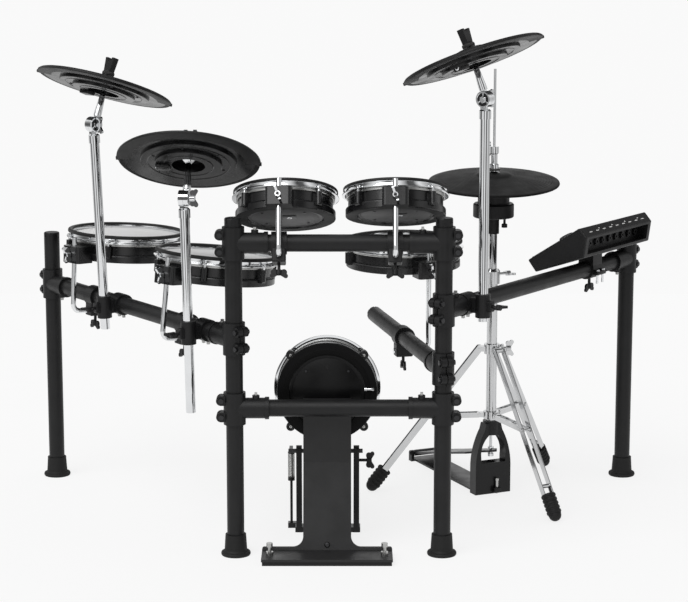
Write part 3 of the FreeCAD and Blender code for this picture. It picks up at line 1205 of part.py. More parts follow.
def hihat_tripod():
    collar = leg_collar(LEG_COLLAR_Z, LEG_LUG, LEG_COLLAR_HALF)
    screw_turn = spun(EZ, LEG_SCREW_TURN - HIHAT_PEDAL_ANGLE)
    screw = put(wing_screw(LEG_SCREW_LENGTH, SCREW_R), frame(V(HIHAT_LOWER_R + GAP, 0, LEG_COLLAR_Z), EZ, EX))
    hole = rod(V(0, 0, LEG_COLLAR_Z), V(LEG_PIVOT_R * 2, 0, LEG_COLLAR_Z), SCREW_R + FIT)
    ring = collar[0].cut(put(hole, screw_turn))
    nodes["hihat_leg_collar"] = put_all([ring, put(screw, screw_turn)], HIHAT)
    rails = []
    for y0 in (LEG_RAIL_IN, -LEG_RAIL_IN - LEG_RAIL_T):
        rail = strap(LEG_TOP, up_leg(LEG_IN_BOOT), LEG_RAIL_W, y0, y0 + LEG_RAIL_T)
        rails.append(rail.cut(pin_hole(LEG_TOP)))
    outer = LEG_RAIL_IN + LEG_RAIL_T
    rivets = [cross_rod(BRACE_END, y0, y0 + RIVET_H, LEG_PIN_R + RIVET_H) for y0 in (outer, -outer - RIVET_H)]
    bar = cross_rod(up_leg(LEG_SPACER_UP), -LEG_RAIL_IN, LEG_RAIL_IN, LEG_SPACER_R)
    leg = fused(rails + rivets + [bar])
    rib_r = LEG_FOOT_R + 1
    groove_r = LEG_FOOT_R - 1.5
    ribs = [(0, -BOOT_LENGTH)]
    for i in range(BOOT_RIBS):
        low = BOOT_RIB_PITCH * i - BOOT_LENGTH
        ribs += [(rib_r, low), (rib_r, low + BOOT_RIB_PITCH - 5), (groove_r, low + BOOT_RIB_PITCH - 3),
                 (groove_r, low + BOOT_RIB_PITCH)]
    toe = LEG_FOOT_R * math.cos(PI / 4)
    ribs += [(LEG_FOOT_R, 0), ((toe, toe), (0, LEG_FOOT_R))]
    along = V(LEG_UNIT[0], 0, LEG_UNIT[1])
    boot = put(revolved(ribs), frame(V(LEG_END[0], 0, LEG_END[1]), EY, along)).cut(leg)
    inner = BRACE_LUG + GAP
    plates = []
    for y0 in (inner, -inner - BRACE_T):
        plates.append(strap(BRACE_TOP, BRACE_END, BRACE_W, y0, y0 + BRACE_T).cut(pin_hole(BRACE_TOP)))
    brace_mid = ((BRACE_TOP[0] + BRACE_END[0]) / 2, (BRACE_TOP[1] + BRACE_END[1]) / 2)
    ties = [cross_rod(brace_mid, -inner, inner, BRACE_TIE_R),
            cross_rod(BRACE_END, -LEG_LUG, LEG_LUG, LEG_PIN_R)]
    brace = fused(plates + ties)
    for i, angle in enumerate(LEG_ANGLES):
        nodes["hihat_leg_%d" % (i + 1)] = put_all([leg, boot], leg_plane(angle))
        nodes["hihat_brace_%d" % (i + 1)] = [put(brace, leg_plane(angle))]


# Kick tower, pad and pedal

def kick_tower():
    bend_z = TOWER_PAD_T
    back_y = KICK_REAR_Y
    path = [(TOWER_FRONT_Y, bend_z), (TOWER_BEND_Y, bend_z), (back_y, bend_z + TOWER_KNEE_RISE),
            (back_y, TOWER_TOP)]
    plate = sheet(path, TOWER_T, TOWER_BASE_WIDTH)
    half = TOWER_WIDTH / 2
    wide = TOWER_BASE_WIDTH / 2
    step = bend_z + TOWER_T + TOWER_STEP
    curve = TOWER_FILLET * (1 - math.cos(PI / 4))
    nick = TOWER_CORNER * (1 - math.cos(PI / 4))
    top = TOWER_TOP + TOWER_T
    face = prism([(-wide, 0), (wide, 0), (wide, step - TOWER_CORNER),
                  ((wide - nick, step - nick), (wide - TOWER_CORNER, step)), (half + TOWER_FILLET, step),
                  ((half + curve, step + curve), (half, step + TOWER_FILLET)), (half, top), (-half, top),
                  (-half, step + TOWER_FILLET), ((-half - curve, step + curve), (-half - TOWER_FILLET, step)),
                  (TOWER_CORNER - wide, step), ((nick - wide, step - nick), (-wide, step - TOWER_CORNER))],
                 4 * TOWER_TOP)
    plate = plate.common(put(face, frame(V(0, 0, 0), EX, EY * -1)))
    strip = box(-STRIP_WIDTH / 2, STRIP_WIDTH / 2, TOWER_BEND_Y - 10, STRIP_END_Y, bend_z, bend_z + TOWER_T)
    plate = fused([plate, strip])
    pad = box(-wide + 2, wide - 2, TOWER_FRONT_Y + 2, TOWER_BEND_Y - 2, 0, TOWER_PAD_T)
    pieces = []
    spike_y = (TOWER_FRONT_Y + TOWER_BEND_Y) / 2
    for side in (-1, 1):
        x = side * (wide - SPIKE_INSET)
        hole = rod(V(x, spike_y, -SPIKE_R), V(x, spike_y, SPIKE_HEIGHT), SPIKE_R + FIT)
        plate = plate.cut(hole)
        pad = pad.cut(hole)
        spike = revolved([(0, 1), (SPIKE_R, SPIKE_POINT), (SPIKE_R, SPIKE_HEIGHT), (0, SPIKE_HEIGHT)])
        nut = Part.makeCylinder(SPIKE_R * 2, SPIKE_NUT_H, V(0, 0, TOWER_PAD_T + TOWER_T))
        head = Part.makeCylinder(SPIKE_R * 2 - 1, SPIKE_HEAD_H, V(0, 0, SPIKE_HEIGHT - SPIKE_HEAD_H))
        pieces.append(put(fused([spike, nut, head]), shifted(x, spike_y, 0)))
    nodes["kick_tower"] = put_all([plate, pad] + pieces, shifted(KICK_X, 0, 0))
    shells, hoops, heads = drum(SMALL_HEAD_R, SMALL_LUGS, False)
    place = frame(V(KICK_X, KICK_REAR_Y, KICK_Z), EX, EY)
    nodes["kick_shell"] = put_all(shells, place)
    nodes["kick_hoop"] = put_all(hoops, place)
    nodes["kick_head"] = put_all(heads, place)


CHAIN_Y = AXLE_Y - CAM_R
STRIP_END_Y = AXLE_Y - PEDAL_FOOT_HALF
PEDAL_BOARD = math.hypot(PEDAL_HEEL_Y - CHAIN_Y, PEDAL_TOE_Z - PEDAL_HEEL_Z)
HEAD_Y = KICK_REAR_Y + SHELL_HEIGHT + HEAD_T
STRIKE_REACH = BEATER_LENGTH + BEATER_R
STRIKE_ANGLE = (math.asin((AXLE_Y - HEAD_Y - GAP) / math.hypot(STRIKE_REACH, BEATER_DEPTH / 2))
                - math.atan2(BEATER_DEPTH / 2, STRIKE_REACH))


def kick_pedal():
    """Frame with two posts, footboard, axle with cam and beater, chain and return spring."""
    at = shifted(KICK_X, 0, 0)
    heel = frame(V(0, PEDAL_HEEL_Y, 0), EY, EZ)
    post_x = PEDAL_POST_SPACING / 2
    front = AXLE_Y - PEDAL_FRONT
    wide = post_x + PEDAL_FOOT_PAST
    pieces = [box(-PEDAL_FOOT_W / 2, PEDAL_FOOT_W / 2, front, PEDAL_HEEL_Y + PEDAL_FOOT_HALF, 0, BASE_T),
              box(-wide, wide, AXLE_Y - PEDAL_FOOT_HALF, AXLE_Y + PEDAL_FOOT_HALF, 0, PEDAL_FOOT_T)]
    half_t = PEDAL_POST_T / 2
    for side in (-1, 1):
        web = prism([(AXLE_Y - POST_FOOT_HALF, 0), (AXLE_Y + POST_FOOT_HALF, 0),
                     (AXLE_Y + POST_TOP_HALF, AXLE_Z),
                     ((AXLE_Y, AXLE_Z + POST_TOP_HALF + 2), (AXLE_Y - POST_TOP_HALF, AXLE_Z))], PEDAL_POST_T)
        pieces.append(put(web, shifted(side * post_x, 0, 0).multiply(UPRIGHT)))
    jaw_y = AXLE_Y - JAW_REACH
    jaw_end = jaw_y + JAW_DEPTH
    strip_top = TOWER_PAD_T + TOWER_T
    half_jaw = JAW_WIDTH / 2
    pieces += [box(-half_jaw, half_jaw, jaw_y, jaw_end, 0, TOWER_PAD_T),
               box(-half_jaw, half_jaw, jaw_y, jaw_end, strip_top, strip_top + JAW_T),
               box(-half_jaw, half_jaw, STRIP_END_Y + GAP, jaw_end, 0, strip_top + JAW_T)]
    frame_body = fused(pieces + put_all(heel_block(0, PEDAL_HEEL_Z), heel))
    frame_body = frame_body.cut(rod(V(-wide * 2, AXLE_Y, AXLE_Z), V(wide * 2, AXLE_Y, AXLE_Z), AXLE_R + FIT))
    spring_x = -post_x - half_t - SPRING_OUT
    spring_y = AXLE_Y + CRANK_LENGTH
    spring_top = AXLE_Z - SPRING_DROP
    spring_low = spring_top - SPRING_TURNS * SPRING_PITCH
    cup_r = SPRING_R + SPRING_WIRE
    seat_z = spring_low - SPRING_WIRE - GAP
    hang_z = spring_top + SPRING_WIRE + GAP - AXLE_Z
    seat = V(spring_x, spring_y, seat_z)
    foot_y = spring_y + cup_r + 1
    anchor = fused([box(spring_x - cup_r, -post_x, spring_y - cup_r - 1, foot_y, 0, PEDAL_FOOT_T),
                    box(-post_x - half_t, -post_x + half_t, AXLE_Y, foot_y, 0, PEDAL_FOOT_T),
                    rod(V(spring_x, spring_y, PEDAL_FOOT_T / 2), seat, SPRING_STEM_R),
                    rod(V(spring_x, spring_y, seat_z - SPRING_CUP_T), seat, cup_r)])
    screw_place = frame(V(post_x + half_t, AXLE_Y, AXLE_Z - POST_TOP_HALF * 2), EZ, EX)
    screw = put(wing_screw(POST_SCREW_LENGTH, SCREW_R), screw_place)
    nodes["kick_pedal_frame"] = put_all([fused([frame_body, anchor, screw])], at)
    rise = PEDAL_TOE_Z - PEDAL_HEEL_Z
    toe = V(0, CHAIN_Y - PEDAL_HEEL_Y, rise)
    on_heel = frame(V(0, PEDAL_HEEL_Y, PEDAL_HEEL_Z), toe, EX.cross(toe) * -1)
    nodes["kick_footboard"] = [put(footboard(PEDAL_BOARD, CHAIN_ROLLER_R), at.multiply(on_heel))]
    half_crank = CRANK_W / 2
    axle = rod(V(spring_x - half_crank - 2, 0, 0), V(post_x + half_t + CRANK_W, 0, 0), AXLE_R)
    cam = rod(V(-CAM_T / 2, 0, 0), V(CAM_T / 2, 0, 0), CAM_R - CHAIN_PITCH / 2 - GAP)
    hook = V(spring_x, CRANK_LENGTH, hang_z)
    crank_x = (spring_x - half_crank, spring_x + half_crank)
    crank = fused([box(*crank_x, 0, CRANK_LENGTH, -CRANK_R, CRANK_R),
                   rod(V(crank_x[0], CRANK_LENGTH, 0), V(crank_x[1], CRANK_LENGTH, 0), CRANK_R),
                   rod(hook, V(spring_x, CRANK_LENGTH, 0), CRANK_ROD_R),
                   rod(hook, hook + EZ * SPRING_STEM_R, cup_r)])
    hub_end = CAM_T / 2 + CAM_HUB_OUT
    hub = rod(V(-hub_end, 0, 0), V(hub_end, 0, 0), AXLE_R + CAM_HUB_WALL)
    lean = V(0, math.sin(math.radians(BEATER_REST)), math.cos(math.radians(BEATER_REST)))
    shaft = rod(V(0, 0, 0), lean * (BEATER_LENGTH + 6), BEATER_SHAFT_R)
    steel = fused([axle, cam, crank, hub, shaft])
    out = EX.cross(lean) * (BEATER_DEPTH / 2)
    felt = rod(lean * BEATER_LENGTH - out, lean * BEATER_LENGTH + out, BEATER_R)
    felt = felt.makeFillet(BEATER_ROUND, felt.Edges).cut(shaft)
    nodes["kick_beater"] = put_all([steel, felt], at.multiply(shifted(0, AXLE_Y, AXLE_Z)))
    nodes["kick_chain"] = put_all(chain(AXLE_Z, PEDAL_TOE_Z + BOARD_T), at.multiply(shifted(0, CHAIN_Y, 0)))
    nodes["kick_spring"] = [put(spring(), at.multiply(shifted(spring_x, spring_y, spring_low)))]


def chain(top, low):
    """Roller chain hanging straight down, from inner and outer links in turn."""
    count = int((top - low) / CHAIN_PITCH)
    links = []
    for i in range(count):
        z0 = top - i * CHAIN_PITCH
        z1 = z0 - CHAIN_PITCH
        inner = i % 2
        half = CHAIN_INNER if inner else CHAIN_OUTER
        across = V(half, 0, 0)
        pieces = []
        for x0 in (half, -half - CHAIN_PLATE_T):
            x1 = x0 + CHAIN_PLATE_T
            waist = CHAIN_PLATE_R * 0.76
            pieces.append(fused([box(x0, x1, -waist, waist, z1, z0),
                                 rod(V(x0, 0, z0), V(x1, 0, z0), CHAIN_PLATE_R),
                                 rod(V(x0, 0, z1), V(x1, 0, z1), CHAIN_PLATE_R)]))
        pins = [V(0, 0, z0), V(0, 0, z1)]
        pieces += [rod(pin - across, pin + across, CHAIN_ROLLER_R if inner else CHAIN_PIN_R) for pin in pins]
        link = fused(pieces)
        if inner:
            for pin in pins:
                link = link.cut(rod(pin - across * 4, pin + across * 4, CHAIN_PIN_R + FIT))
        links.append(link)
    return links


def spring():
    """Coil spring standing on the origin along Z: half-turn arcs whose tangents meet, with hooks."""
    edges = []
    for i in range(SPRING_TURNS * 2):
        side = 1 if i % 2 == 0 else -1
        z = SPRING_PITCH / 2 * i
        start = V(side * SPRING_R, 0, z)
        end = V(-side * SPRING_R, 0, z + SPRING_PITCH / 2)
        centre = (start + end) * 0.5
        edges.append(Part.Arc(start, centre + EY * side * end.sub(start).Length / 2, end).toShape())
    ring = Part.Wire(Part.makeCircle(SPRING_WIRE, V(SPRING_R, 0, 0), EY))
    coil = Part.Wire(edges).makePipeShell([ring], True, False)
    return coil


def spring_gap():
    """Least clear distance between neighbouring turns, measured on points along the wire."""
    points = []
    steps = 24
    for i in range(SPRING_TURNS * steps):
        turn = i / steps
        points.append((SPRING_R * math.cos(2 * PI * turn), SPRING_R * math.sin(2 * PI * turn),
                       SPRING_PITCH * turn))
    least = min(math.dist(points[i], points[j]) for i in range(len(points))
                for j in range(i + steps // 2, min(i + steps * 2, len(points))))
    return least - 2 * SPRING_WIRE


# Sound module

MODULE_PLACE = frame(RIGHT_PIVOT + RIGHT_DIR * MODULE_S, EZ.cross(RIGHT_OUT), EZ)


def module_dial_place():
    (y0, z0), (y1, z1) = MODULE_SECTION[0], MODULE_SECTION[-1]
    normal = V(0, z0 - z1, y1 - y0)
    middle = V(-MODULE_LENGTH * DIAL_SHARE, (y0 + y1) / 2, (z0 + z1) / 2)
    return MODULE_PLACE.multiply(frame(middle, EX, normal))


def sound_module():
    case = put(prism(MODULE_SECTION, MODULE_LENGTH), UPRIGHT)
    case = case.makeFillet(MODULE_EDGE, case.Edges)
    (_, (rear_y, rear_high), (low_y, rear_low)) = MODULE_SECTION[:3]
    inside = MODULE_LENGTH / 2 - MODULE_CHEEK
    panel_y = low_y + MODULE_RECESS
    panel_low = rear_low + MODULE_SILL
    panel_high = rear_high - MODULE_HOOD
    case = case.cut(box(-inside, inside, rear_y - MODULE_RECESS, panel_y, panel_low, panel_high))
    middle = (panel_low + panel_high) / 2
    jacks = []
    for i in range(MODULE_JACKS):
        x = (i / (MODULE_JACKS - 1) - 0.5) * (MODULE_LENGTH - 2 * JACK_END)
        jacks.append(tube(V(x, panel_y - JACK_OUT, middle), V(x, panel_y, middle), JACK_R, JACK_WALL))
    dial_place = MODULE_PLACE.inverse().multiply(module_dial_place())
    shaft_hole = put(rod(V(0, 0, -DIAL_SHAFT - 1), V(0, 0, DIAL_SHAFT), DIAL_SHAFT_R + FIT), dial_place)
    case = fused([case] + jacks).cut(shaft_hole)
    half = SADDLE_WIDTH / 2
    ring = Part.makeCylinder(TUBE_R + SADDLE_WALL, SADDLE_WIDTH, V(-half, 0, 0), EX)
    saddle = fused([ring, box(-half, half, -SADDLE_OUT, SADDLE_IN, 0, SADDLE_HIGH)])
    bar_hole = Part.makeCylinder(TUBE_R + FIT, SADDLE_WIDTH * 2, V(-SADDLE_WIDTH, 0, 0), EX)
    saddle = saddle.cut(bar_hole).cut(case)
    saddle = sorted(saddle.Solids, key=lambda solid: solid.Volume)[-1]
    saddle = saddle.cut(rod(V(0, 0, 0), V(0, 0, -TUBE_R * 2), SCREW_R + FIT))
    screw = put(wing_screw(SADDLE_SCREW_LENGTH, SCREW_R), frame(V(0, 0, -TUBE_R - GAP), EX, EZ * -1))
    nodes["module_case"] = put_all([case, saddle, screw], MODULE_PLACE)
    dial = revolved([(0, GAP), (DIAL_R, GAP), (DIAL_R, DIAL_H - DIAL_EDGE), (DIAL_R - DIAL_EDGE, DIAL_H),
                     (0, DIAL_H)])
    dial = fused([dial, rod(V(0, 0, -DIAL_SHAFT), V(0, 0, GAP), DIAL_SHAFT_R)])
    nodes["module_dial"] = [put(dial, module_dial_place())]


def build():
    front_rack()
    left_arms = [cymbal_frames(name)[0] for name in ("crash_left", "ride")]
    right_arms = [cymbal_frames("crash_right")[0]]
    wing("left_wing", LEFT_PIVOT, LEFT_DIR, LEFT_POST_HEIGHT, left_arms)
    wing("right_wing", RIGHT_PIVOT, RIGHT_DIR, RIGHT_POST_HEIGHT, right_arms)
    snare_arm()
    drums()
    cymbals()
    hihat_stand()
    hihat_motion()
    hihat_tripod()
    kick_tower()
    kick_pedal()
    sound_module()


build()

# The frame's origin stands on the floor under the middle of the whole kit
low = [1e9, 1e9]
high = [-1e9, -1e9]
for solids in nodes.values():
    for solid in solids:
        bounds = solid.optimalBoundingBox(False, False)
        low = [min(low[0], bounds.XMin), min(low[1], bounds.YMin)]
        high = [max(high[0], bounds.XMax), max(high[1], bounds.YMax)]
ORIGIN = V(-(low[0] + high[0]) / 2, -(low[1] + high[1]) / 2, 0)

os.makedirs("parts", exist_ok=True)
for name, solids in nodes.items():
    placed = put_all(solids, shifted(ORIGIN.x, ORIGIN.y, ORIGIN.z))
    shape = placed[0] if len(placed) == 1 else Part.makeCompound(placed)
    shape.exportStep("parts/%s.step" % name)

print("nodes %d, overall %.1f x %.1f mm" % (len(nodes), high[0] - low[0], high[1] - low[1]))
print("least gap of the spring to itself %.2f mm" % spring_gap())
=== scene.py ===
"""Looks of the electronic drum kit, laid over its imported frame.

Metres, +Z up. The audience looks along +Y and the drummer sits on the +Y side.
Outlines and sections are (radius, height) points of pieces that are turned about Z.
Blocks are a size, the rounding of its edges and its segments, where they aren't 3."""
import json
import math
import bpy
import numpy as np
from mathutils import Matrix, Vector


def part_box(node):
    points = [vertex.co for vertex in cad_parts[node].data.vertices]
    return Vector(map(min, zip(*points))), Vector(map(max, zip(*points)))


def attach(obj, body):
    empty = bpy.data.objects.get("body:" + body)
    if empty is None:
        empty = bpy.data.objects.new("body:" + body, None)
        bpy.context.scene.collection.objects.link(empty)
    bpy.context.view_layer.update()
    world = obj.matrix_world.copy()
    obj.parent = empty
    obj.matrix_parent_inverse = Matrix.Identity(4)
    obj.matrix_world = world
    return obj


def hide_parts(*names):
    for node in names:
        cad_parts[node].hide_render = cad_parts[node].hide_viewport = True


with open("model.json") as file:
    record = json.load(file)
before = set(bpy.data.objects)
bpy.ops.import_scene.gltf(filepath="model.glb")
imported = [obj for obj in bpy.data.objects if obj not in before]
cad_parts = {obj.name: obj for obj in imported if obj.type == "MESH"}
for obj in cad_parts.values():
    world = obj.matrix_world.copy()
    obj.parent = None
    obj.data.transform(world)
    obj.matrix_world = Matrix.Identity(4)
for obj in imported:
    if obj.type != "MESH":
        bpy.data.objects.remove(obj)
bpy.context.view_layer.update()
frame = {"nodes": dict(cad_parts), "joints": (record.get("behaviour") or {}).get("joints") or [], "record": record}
joints = {joint["name"]: joint for joint in frame["joints"]}
feet = {mount["name"]: Vector(mount["pos_m"]) for mount in frame["record"]["mounts"]}
EX = Vector((1, 0, 0))
EY = Vector((0, 1, 0))
EZ = Vector((0, 0, 1))
WHITE = (1, 1, 1, 1)
PLASTIC = "black_plastic"
RUBBER = "black_rubber"
STEEL = "plain_steel"


def mm(*points):
    """Points that are given in millimetres."""
    return [tuple(value / 1000 for value in point) for point in points]


# Modelling
SHARP_ANGLE = 30
SMOOTH_ANGLE = 40
ARC_STEP = 15
SAME_POINT = 0.00001
SAME_LEVEL = 0.0002
UPWARD = 0.9
RAY_AHEAD = 1

# Photograph
PHOTO_WIDTH = 688
FOCAL_PIXELS = 2265
SENSOR = 36
CAMERA_AT = (0.0115, -4.872, 1.497)
CAMERA_DOWN = 10.7

# Light: what the floor and the backdrop look like, and the room's lamps from its left to its right
SEEN_RAYS = ("Is Camera Ray", "Is Glossy Ray", "Is Transmission Ray")
FLOOR_SIZE = 5.6
FLOOR_TONES = ((0.87,) * 3, (0.89,) * 3)
FLOOR_BLOTCH = 2
FLOOR_DETAIL = 3
FLOOR_ROUGH = 0.8
FLOOR_SHINE = 0.1
FLOOR_PALE = 0.98
FLOOR_PALE_SHARE = 0.82
ROOM_LIGHT = 0.55
BACKDROP = 0.95
SUN_POWER = 1.7
SUN_SPREAD = 50
SUN_LEAN = (32, -24, 0)
LAMP_TONES = [(0.0, 0.1), (0.1, 0.85), (0.2, 0.95), (0.3, 0.15), (0.38, 0.1), (0.45, 0.95), (0.55, 1.0),
              (0.64, 0.55), (0.72, 0.08), (0.82, 0.12), (0.9, 0.95), (1.0, 0.4)]

# Finishes: where the tones of a mask end, how fine its noise is, and the weave of the heads
PATCH_SPAN = (0.3, 0.7)
PATCH_DETAIL = 4
GRAIN_DETAIL = 2
GRAIN_DEPTH = 0.0004
WAVE_RATE = 20
WEAVE_PITCH = 0.0008
WEAVE_STRAY = 0.4
WEAVE_SPAN = (0.35, 0.85)
WEAVE_ROUGH = (0.8, 0.55)
WEAVE_BUMP = 0.4
WEAVE_DEPTH = 0.0003

# Solids of a node, told apart by their diagonals and heights
WELDS_PER_METRE = 1e5
NUT_SIZE = 0.03
BOLT_SIZE = 0.05
FOOT_HEIGHT = 0.03
SNARE_BAR_SIZE = 0.4
HOOP_SCREW_SIZE = 0.1
WING_SIZE = 0.07
WING_REACH = 0.04
BENT_ROD_SIZE = 0.14
HIHAT_COLLAR_SIZE = 0.12
HIHAT_NUT_SIZE = 0.06
HIHAT_NUT_TOP = 0.8
TOWER_SPIKE_SIZE = 0.06
MODULE_CLAMP_SIZE = 0.15

# Drum pads: heights above the shell's bottom, and widths past the shell's wall
BRACKET_TIP = 0.004
BASE_LEVEL = 0.0005
DRUM_EDGE = 0.052
HEAD_TOP = 0.0532
HEAD_CROWN = 0.0005
HEAD_SHARES = (0.2, 0.4, 0.6, 0.8, 0.92)
HEAD_SHOULDER = mm((-2, 0), (-0.3, -0.3))
HEAD_BEND = mm((-0.3, 0), (0, -1.2), (0, -3))
HEAD_THICK = 0.0005
FLESH_LOW = 0.04
FLESH_TOP = 0.046
FLESH_WIDTH = 0.004
FLESH_ROUND = 0.0008
FLESH_PAST_SHELL = 0.0003
HEAD_PAST_SHELL = 0.0015
HOOP_PAST_SHELL = 0.0018
HOOP_LOW = 0.046
HOOP_TOP = 0.062
HOOP_WALL = 0.0023
HOOP_FLANGE = 0.012
HOOP_LIP = 0.007
HOOP_FILLET = mm((1.5, 0), (0.4, 0.5), (0, 1.6))
HOOP_ROUND = 0.0006
RIM_WALL = 0.0024
RIM_LOW = 0.058
RIM_STEP = 0.002
RIM_CROWN = 0.0038
RIM_ROUND = 0.0005

# Screws: the square key screws of the hoops, and round heads and jack rings in shares of their radius
KEY_TOP = 0.0548
KEY_LOW = 0.0247
KEY_SHANK_R = 0.003
KEY_TIP = mm((-0.6, 0), (0, 1))
KEY_FLANGE_R = 0.0045
KEY_FLANGE = mm((0.6, 0), (0.6, 0.7), (0, 0.8), (0, 1.8), (-0.6, 2.4), (-4.5, 2.4))
KEY_SQUARE = 0.006
KEY_SQUARE_LOW = 0.002
KEY_SQUARE_ROUND = 0.0005
SCREW_HEAD = [(0, 0), (1, 0), (1, 0.2), (0.75, 0.5), (0.35, 0.55), (0.35, 0.3), (0, 0.3)]
SOCKET_RING = [(0.55, 0), (1, 0), (1, 0.16), (0.83, 0.26), (0.55, 0.26)]
PLATE_SCREW_R = 0.0034
LUG_SCREW_R = 0.004
# Dark head on each bracket's wing screw, as painted shade in the hollow of its boss.
WING_SHADE_R = 0.0036
WING_AHEAD = 0.02
PLATE_SCREW_AT = 0.083
PLATE_SCREWS = 6
TOWER_SCREW_R = 0.0065
TOWER_SCREW_Z = 0.026

# Undersides of the pads: the plate in its recess, the toms' jack and the kick pad's back
RECESS_SHARE = 0.8
RECESS_DEPTH = 0.005
FLOOR_PLAY = 0.001
FLOOR_THICK = 0.0022
FLOOR_EDGE = mm((0, 0.6), (-0.6, 0), (-6, 0), (-6.6, 0.5), (-8, 0.5), (-8.6, 0))
FLOOR_SCREW_IN = 0.017
FLOOR_SCREWS = 4
TOM_JACK_AT = (0.01, -0.012)
TOM_JACK_SEAT = ((0.03, 0.022, 0.003), 0.0008)
TOM_JACK_DROP = 0.0022
TOM_JACK_R = 0.0058
KICK_GROOVE = mm((0, 4), (0, -0.2), (1.2, -0.8), (11.8, -0.8), (13, -0.2), (13, 4))
SIGHT_HOLE = mm((0, 0.3), (3, 0.3), (3.6, 0.9), (4.6, 0.9), (5.2, 0))
SIGHT_HOLE_Y = -0.056
SIDE_JACK = mm((0, 0), (4.2, 0), (4.2, 6), (3.2, 7), (3.2, 14), (3.8, 14.5), (3.8, 20), (3, 21.5), (0, 21.5))
SIDE_JACK_AT = (-0.002, -0.007, -0.0022)
LUG_CAP_Z = 0.012
LUG_CAP_SEAT = 0.0012
LUG_CAP = mm((0, -8), (9.5, -8), (10, 0), (10, 1.6), (8.8, 2.8), (5.6, 2.8), (5.2, 1.2), (0, 1.2))

# Cymbal pads, in their own axes with the middle of the hub at the origin; a terrace has an edge and a bead
CYMBAL_TERRACE = 0.006
HIHAT_TERRACE = 0.001
HIHAT_SEAT_Z = 0.7845
HIHAT_LEAN = 5.0
PAD_CUP = mm((14, 8), (22, 8), (29, 7.1), (35, 5.4), (40, 3.3), (44, 1))
PAD_SLOPE = mm((44, 1), (94.8, -5), (155, -13.5))
PAD_EDGE = mm((155, -13.5), (156.8, -14.2), (157.7, -15.7), (158, -17.5), (157.6, -18.8), (156.5, -19.5),
              (146, -19.5))
PAD_SEAM = mm((14, 4.5), (22, 4.5), (35, 1.9), (44, -2.5), (94.8, -8.5), (146, -16.5))
RINGS = 14
RING_FIRST = 0.052
RING_PITCH = 0.0068
RING_HALF = 0.0008
RING_DEPTH = 0.0005
PLATE_HUB = mm((9, 8), (14, 8))
PLATE_LIP = mm((146, -20))
PLATE_FIRST = -0.019
TERRACES = mm((107, 91), (75, 55))
BEAD = mm((1.6, 0), (0.8, -0.8), (0, -1.1), (-0.8, -0.8), (-1.6, 0))
STEP_FOOT = mm((-0.6, 1), (-1.6, 0))
PLATE_CUP_R = 0.037
PLATE_CUP_Z = -0.0115
PLATE_FOOT = mm((22, -8), (9, -8))
JACK_NEAR = 0.0405
JACK_SIZE = (0.032, 0.024)
JACK_BELOW = 0.007
JACK_TOP = 0.0085
JACK_ROUND = 0.003
PAD_JACK_R = 0.0056

# Strip round the audience's half of a cymbal's edge, and its end clips
STRIP = mm((126, -18.5), (127, -20.8), (155, -22.1), (159.2, -21.2), (160, -19.6), (159.7, -16.6), (158.8, -15.8),
           (157, -17), (126.5, -17.5))
CLIP = ((0.009, 0.011, 0.006), 0.0012)
CLIP_AT = 0.157
CLIP_Z = -0.0222

# Felts and tilters
FELT_R = 0.0144
FELT_BORE = 0.0042
FELT_EDGE = mm((-1, 0), (-0.2, 0.8))
FELT_BULGE = 0.0003
FELT_LOW = 0.0118
CYMBAL_FELT_TOP = 0.019
HIHAT_FELT_TOP = 0.018
TILTER_HALF = 0.005
TILTER_FACE = 0.01
TILTER_RIM = mm((14, -0.5), (18, -0.5), (18, 0.4), (17.2, 1.2), (14.8, 1.2), (14, 0.4))
TILTER_HUB = mm((4.8, -0.5), (8.5, -0.5), (8.5, 1.2), (7.5, 2), (4.8, 2))
TILTER_WEB = mm((6.5, -0.4), (15, -0.4), (15, 0.3), (6.5, 0.3))
SPOKES = 3
SPOKE = ((0.0075, 0.0034, 0.001), 0.0003)
SPOKE_AT = (0.01225, 0, -0.0002)

# Rubber boots of the tripod: the leg's end is at the middle of the boot's round toe
BOOT_LENGTH = 0.052
BOOT_TOP = 0.068
BOOT_SEAT = 0.001
BOOT_TOE_R = 0.015
BOOT_BORE_R = 0.008
BOOT_GROOVE_R = 0.0157
BOOT_RIB_R = 0.0176
BOOT_RIBS = 5
BOOT_RIB = [(BOOT_GROOVE_R, 0), (BOOT_RIB_R, 0.15), (BOOT_RIB_R, 0.6), (BOOT_GROOVE_R, 0.75)]
BOOT_ROUND = 0.0004

# Spur screw on the front of the hi-hat's cast frame
SPUR_X = 0.377
SPUR_Z = 0.012
SPUR_AT = (0, -0.006, 0)
SPUR = mm((0, 0.5), (1.2, 0.8), (3.6, 5), (3.6, 34), (4.8, 34), (4.8, 39), (3.8, 40), (0, 40))
SPUR_LUG = ((0.018, 0.014, 0.014), 0.002)
SPUR_LUG_AT = (0, -0.005, 0.003)

# Kick tower and beater
STRIP_TOP = 0.0088
CAM_R = 0.042
BEATER_REST = 35.0
BEATER_LENGTH = 0.165
BEATER_R = 0.0244
BEATER_DEPTH = 0.0348
BEATER_ROUND = 0.005
BEATER_CROWN = 0.0004
BEATER_SEAM = mm((24.4, 1.2), (24, 0), (24.4, -1.2))

# Sound module: its section in the bar's own directions, inward and up
MODULE_REAR_TOP = (-0.062, 0.124)
MODULE_REAR_EDGE = (-0.081, 0.103)
MODULE_FRONT_TOP = (0.078, 0.035)
MODULE_LENGTH = 0.325

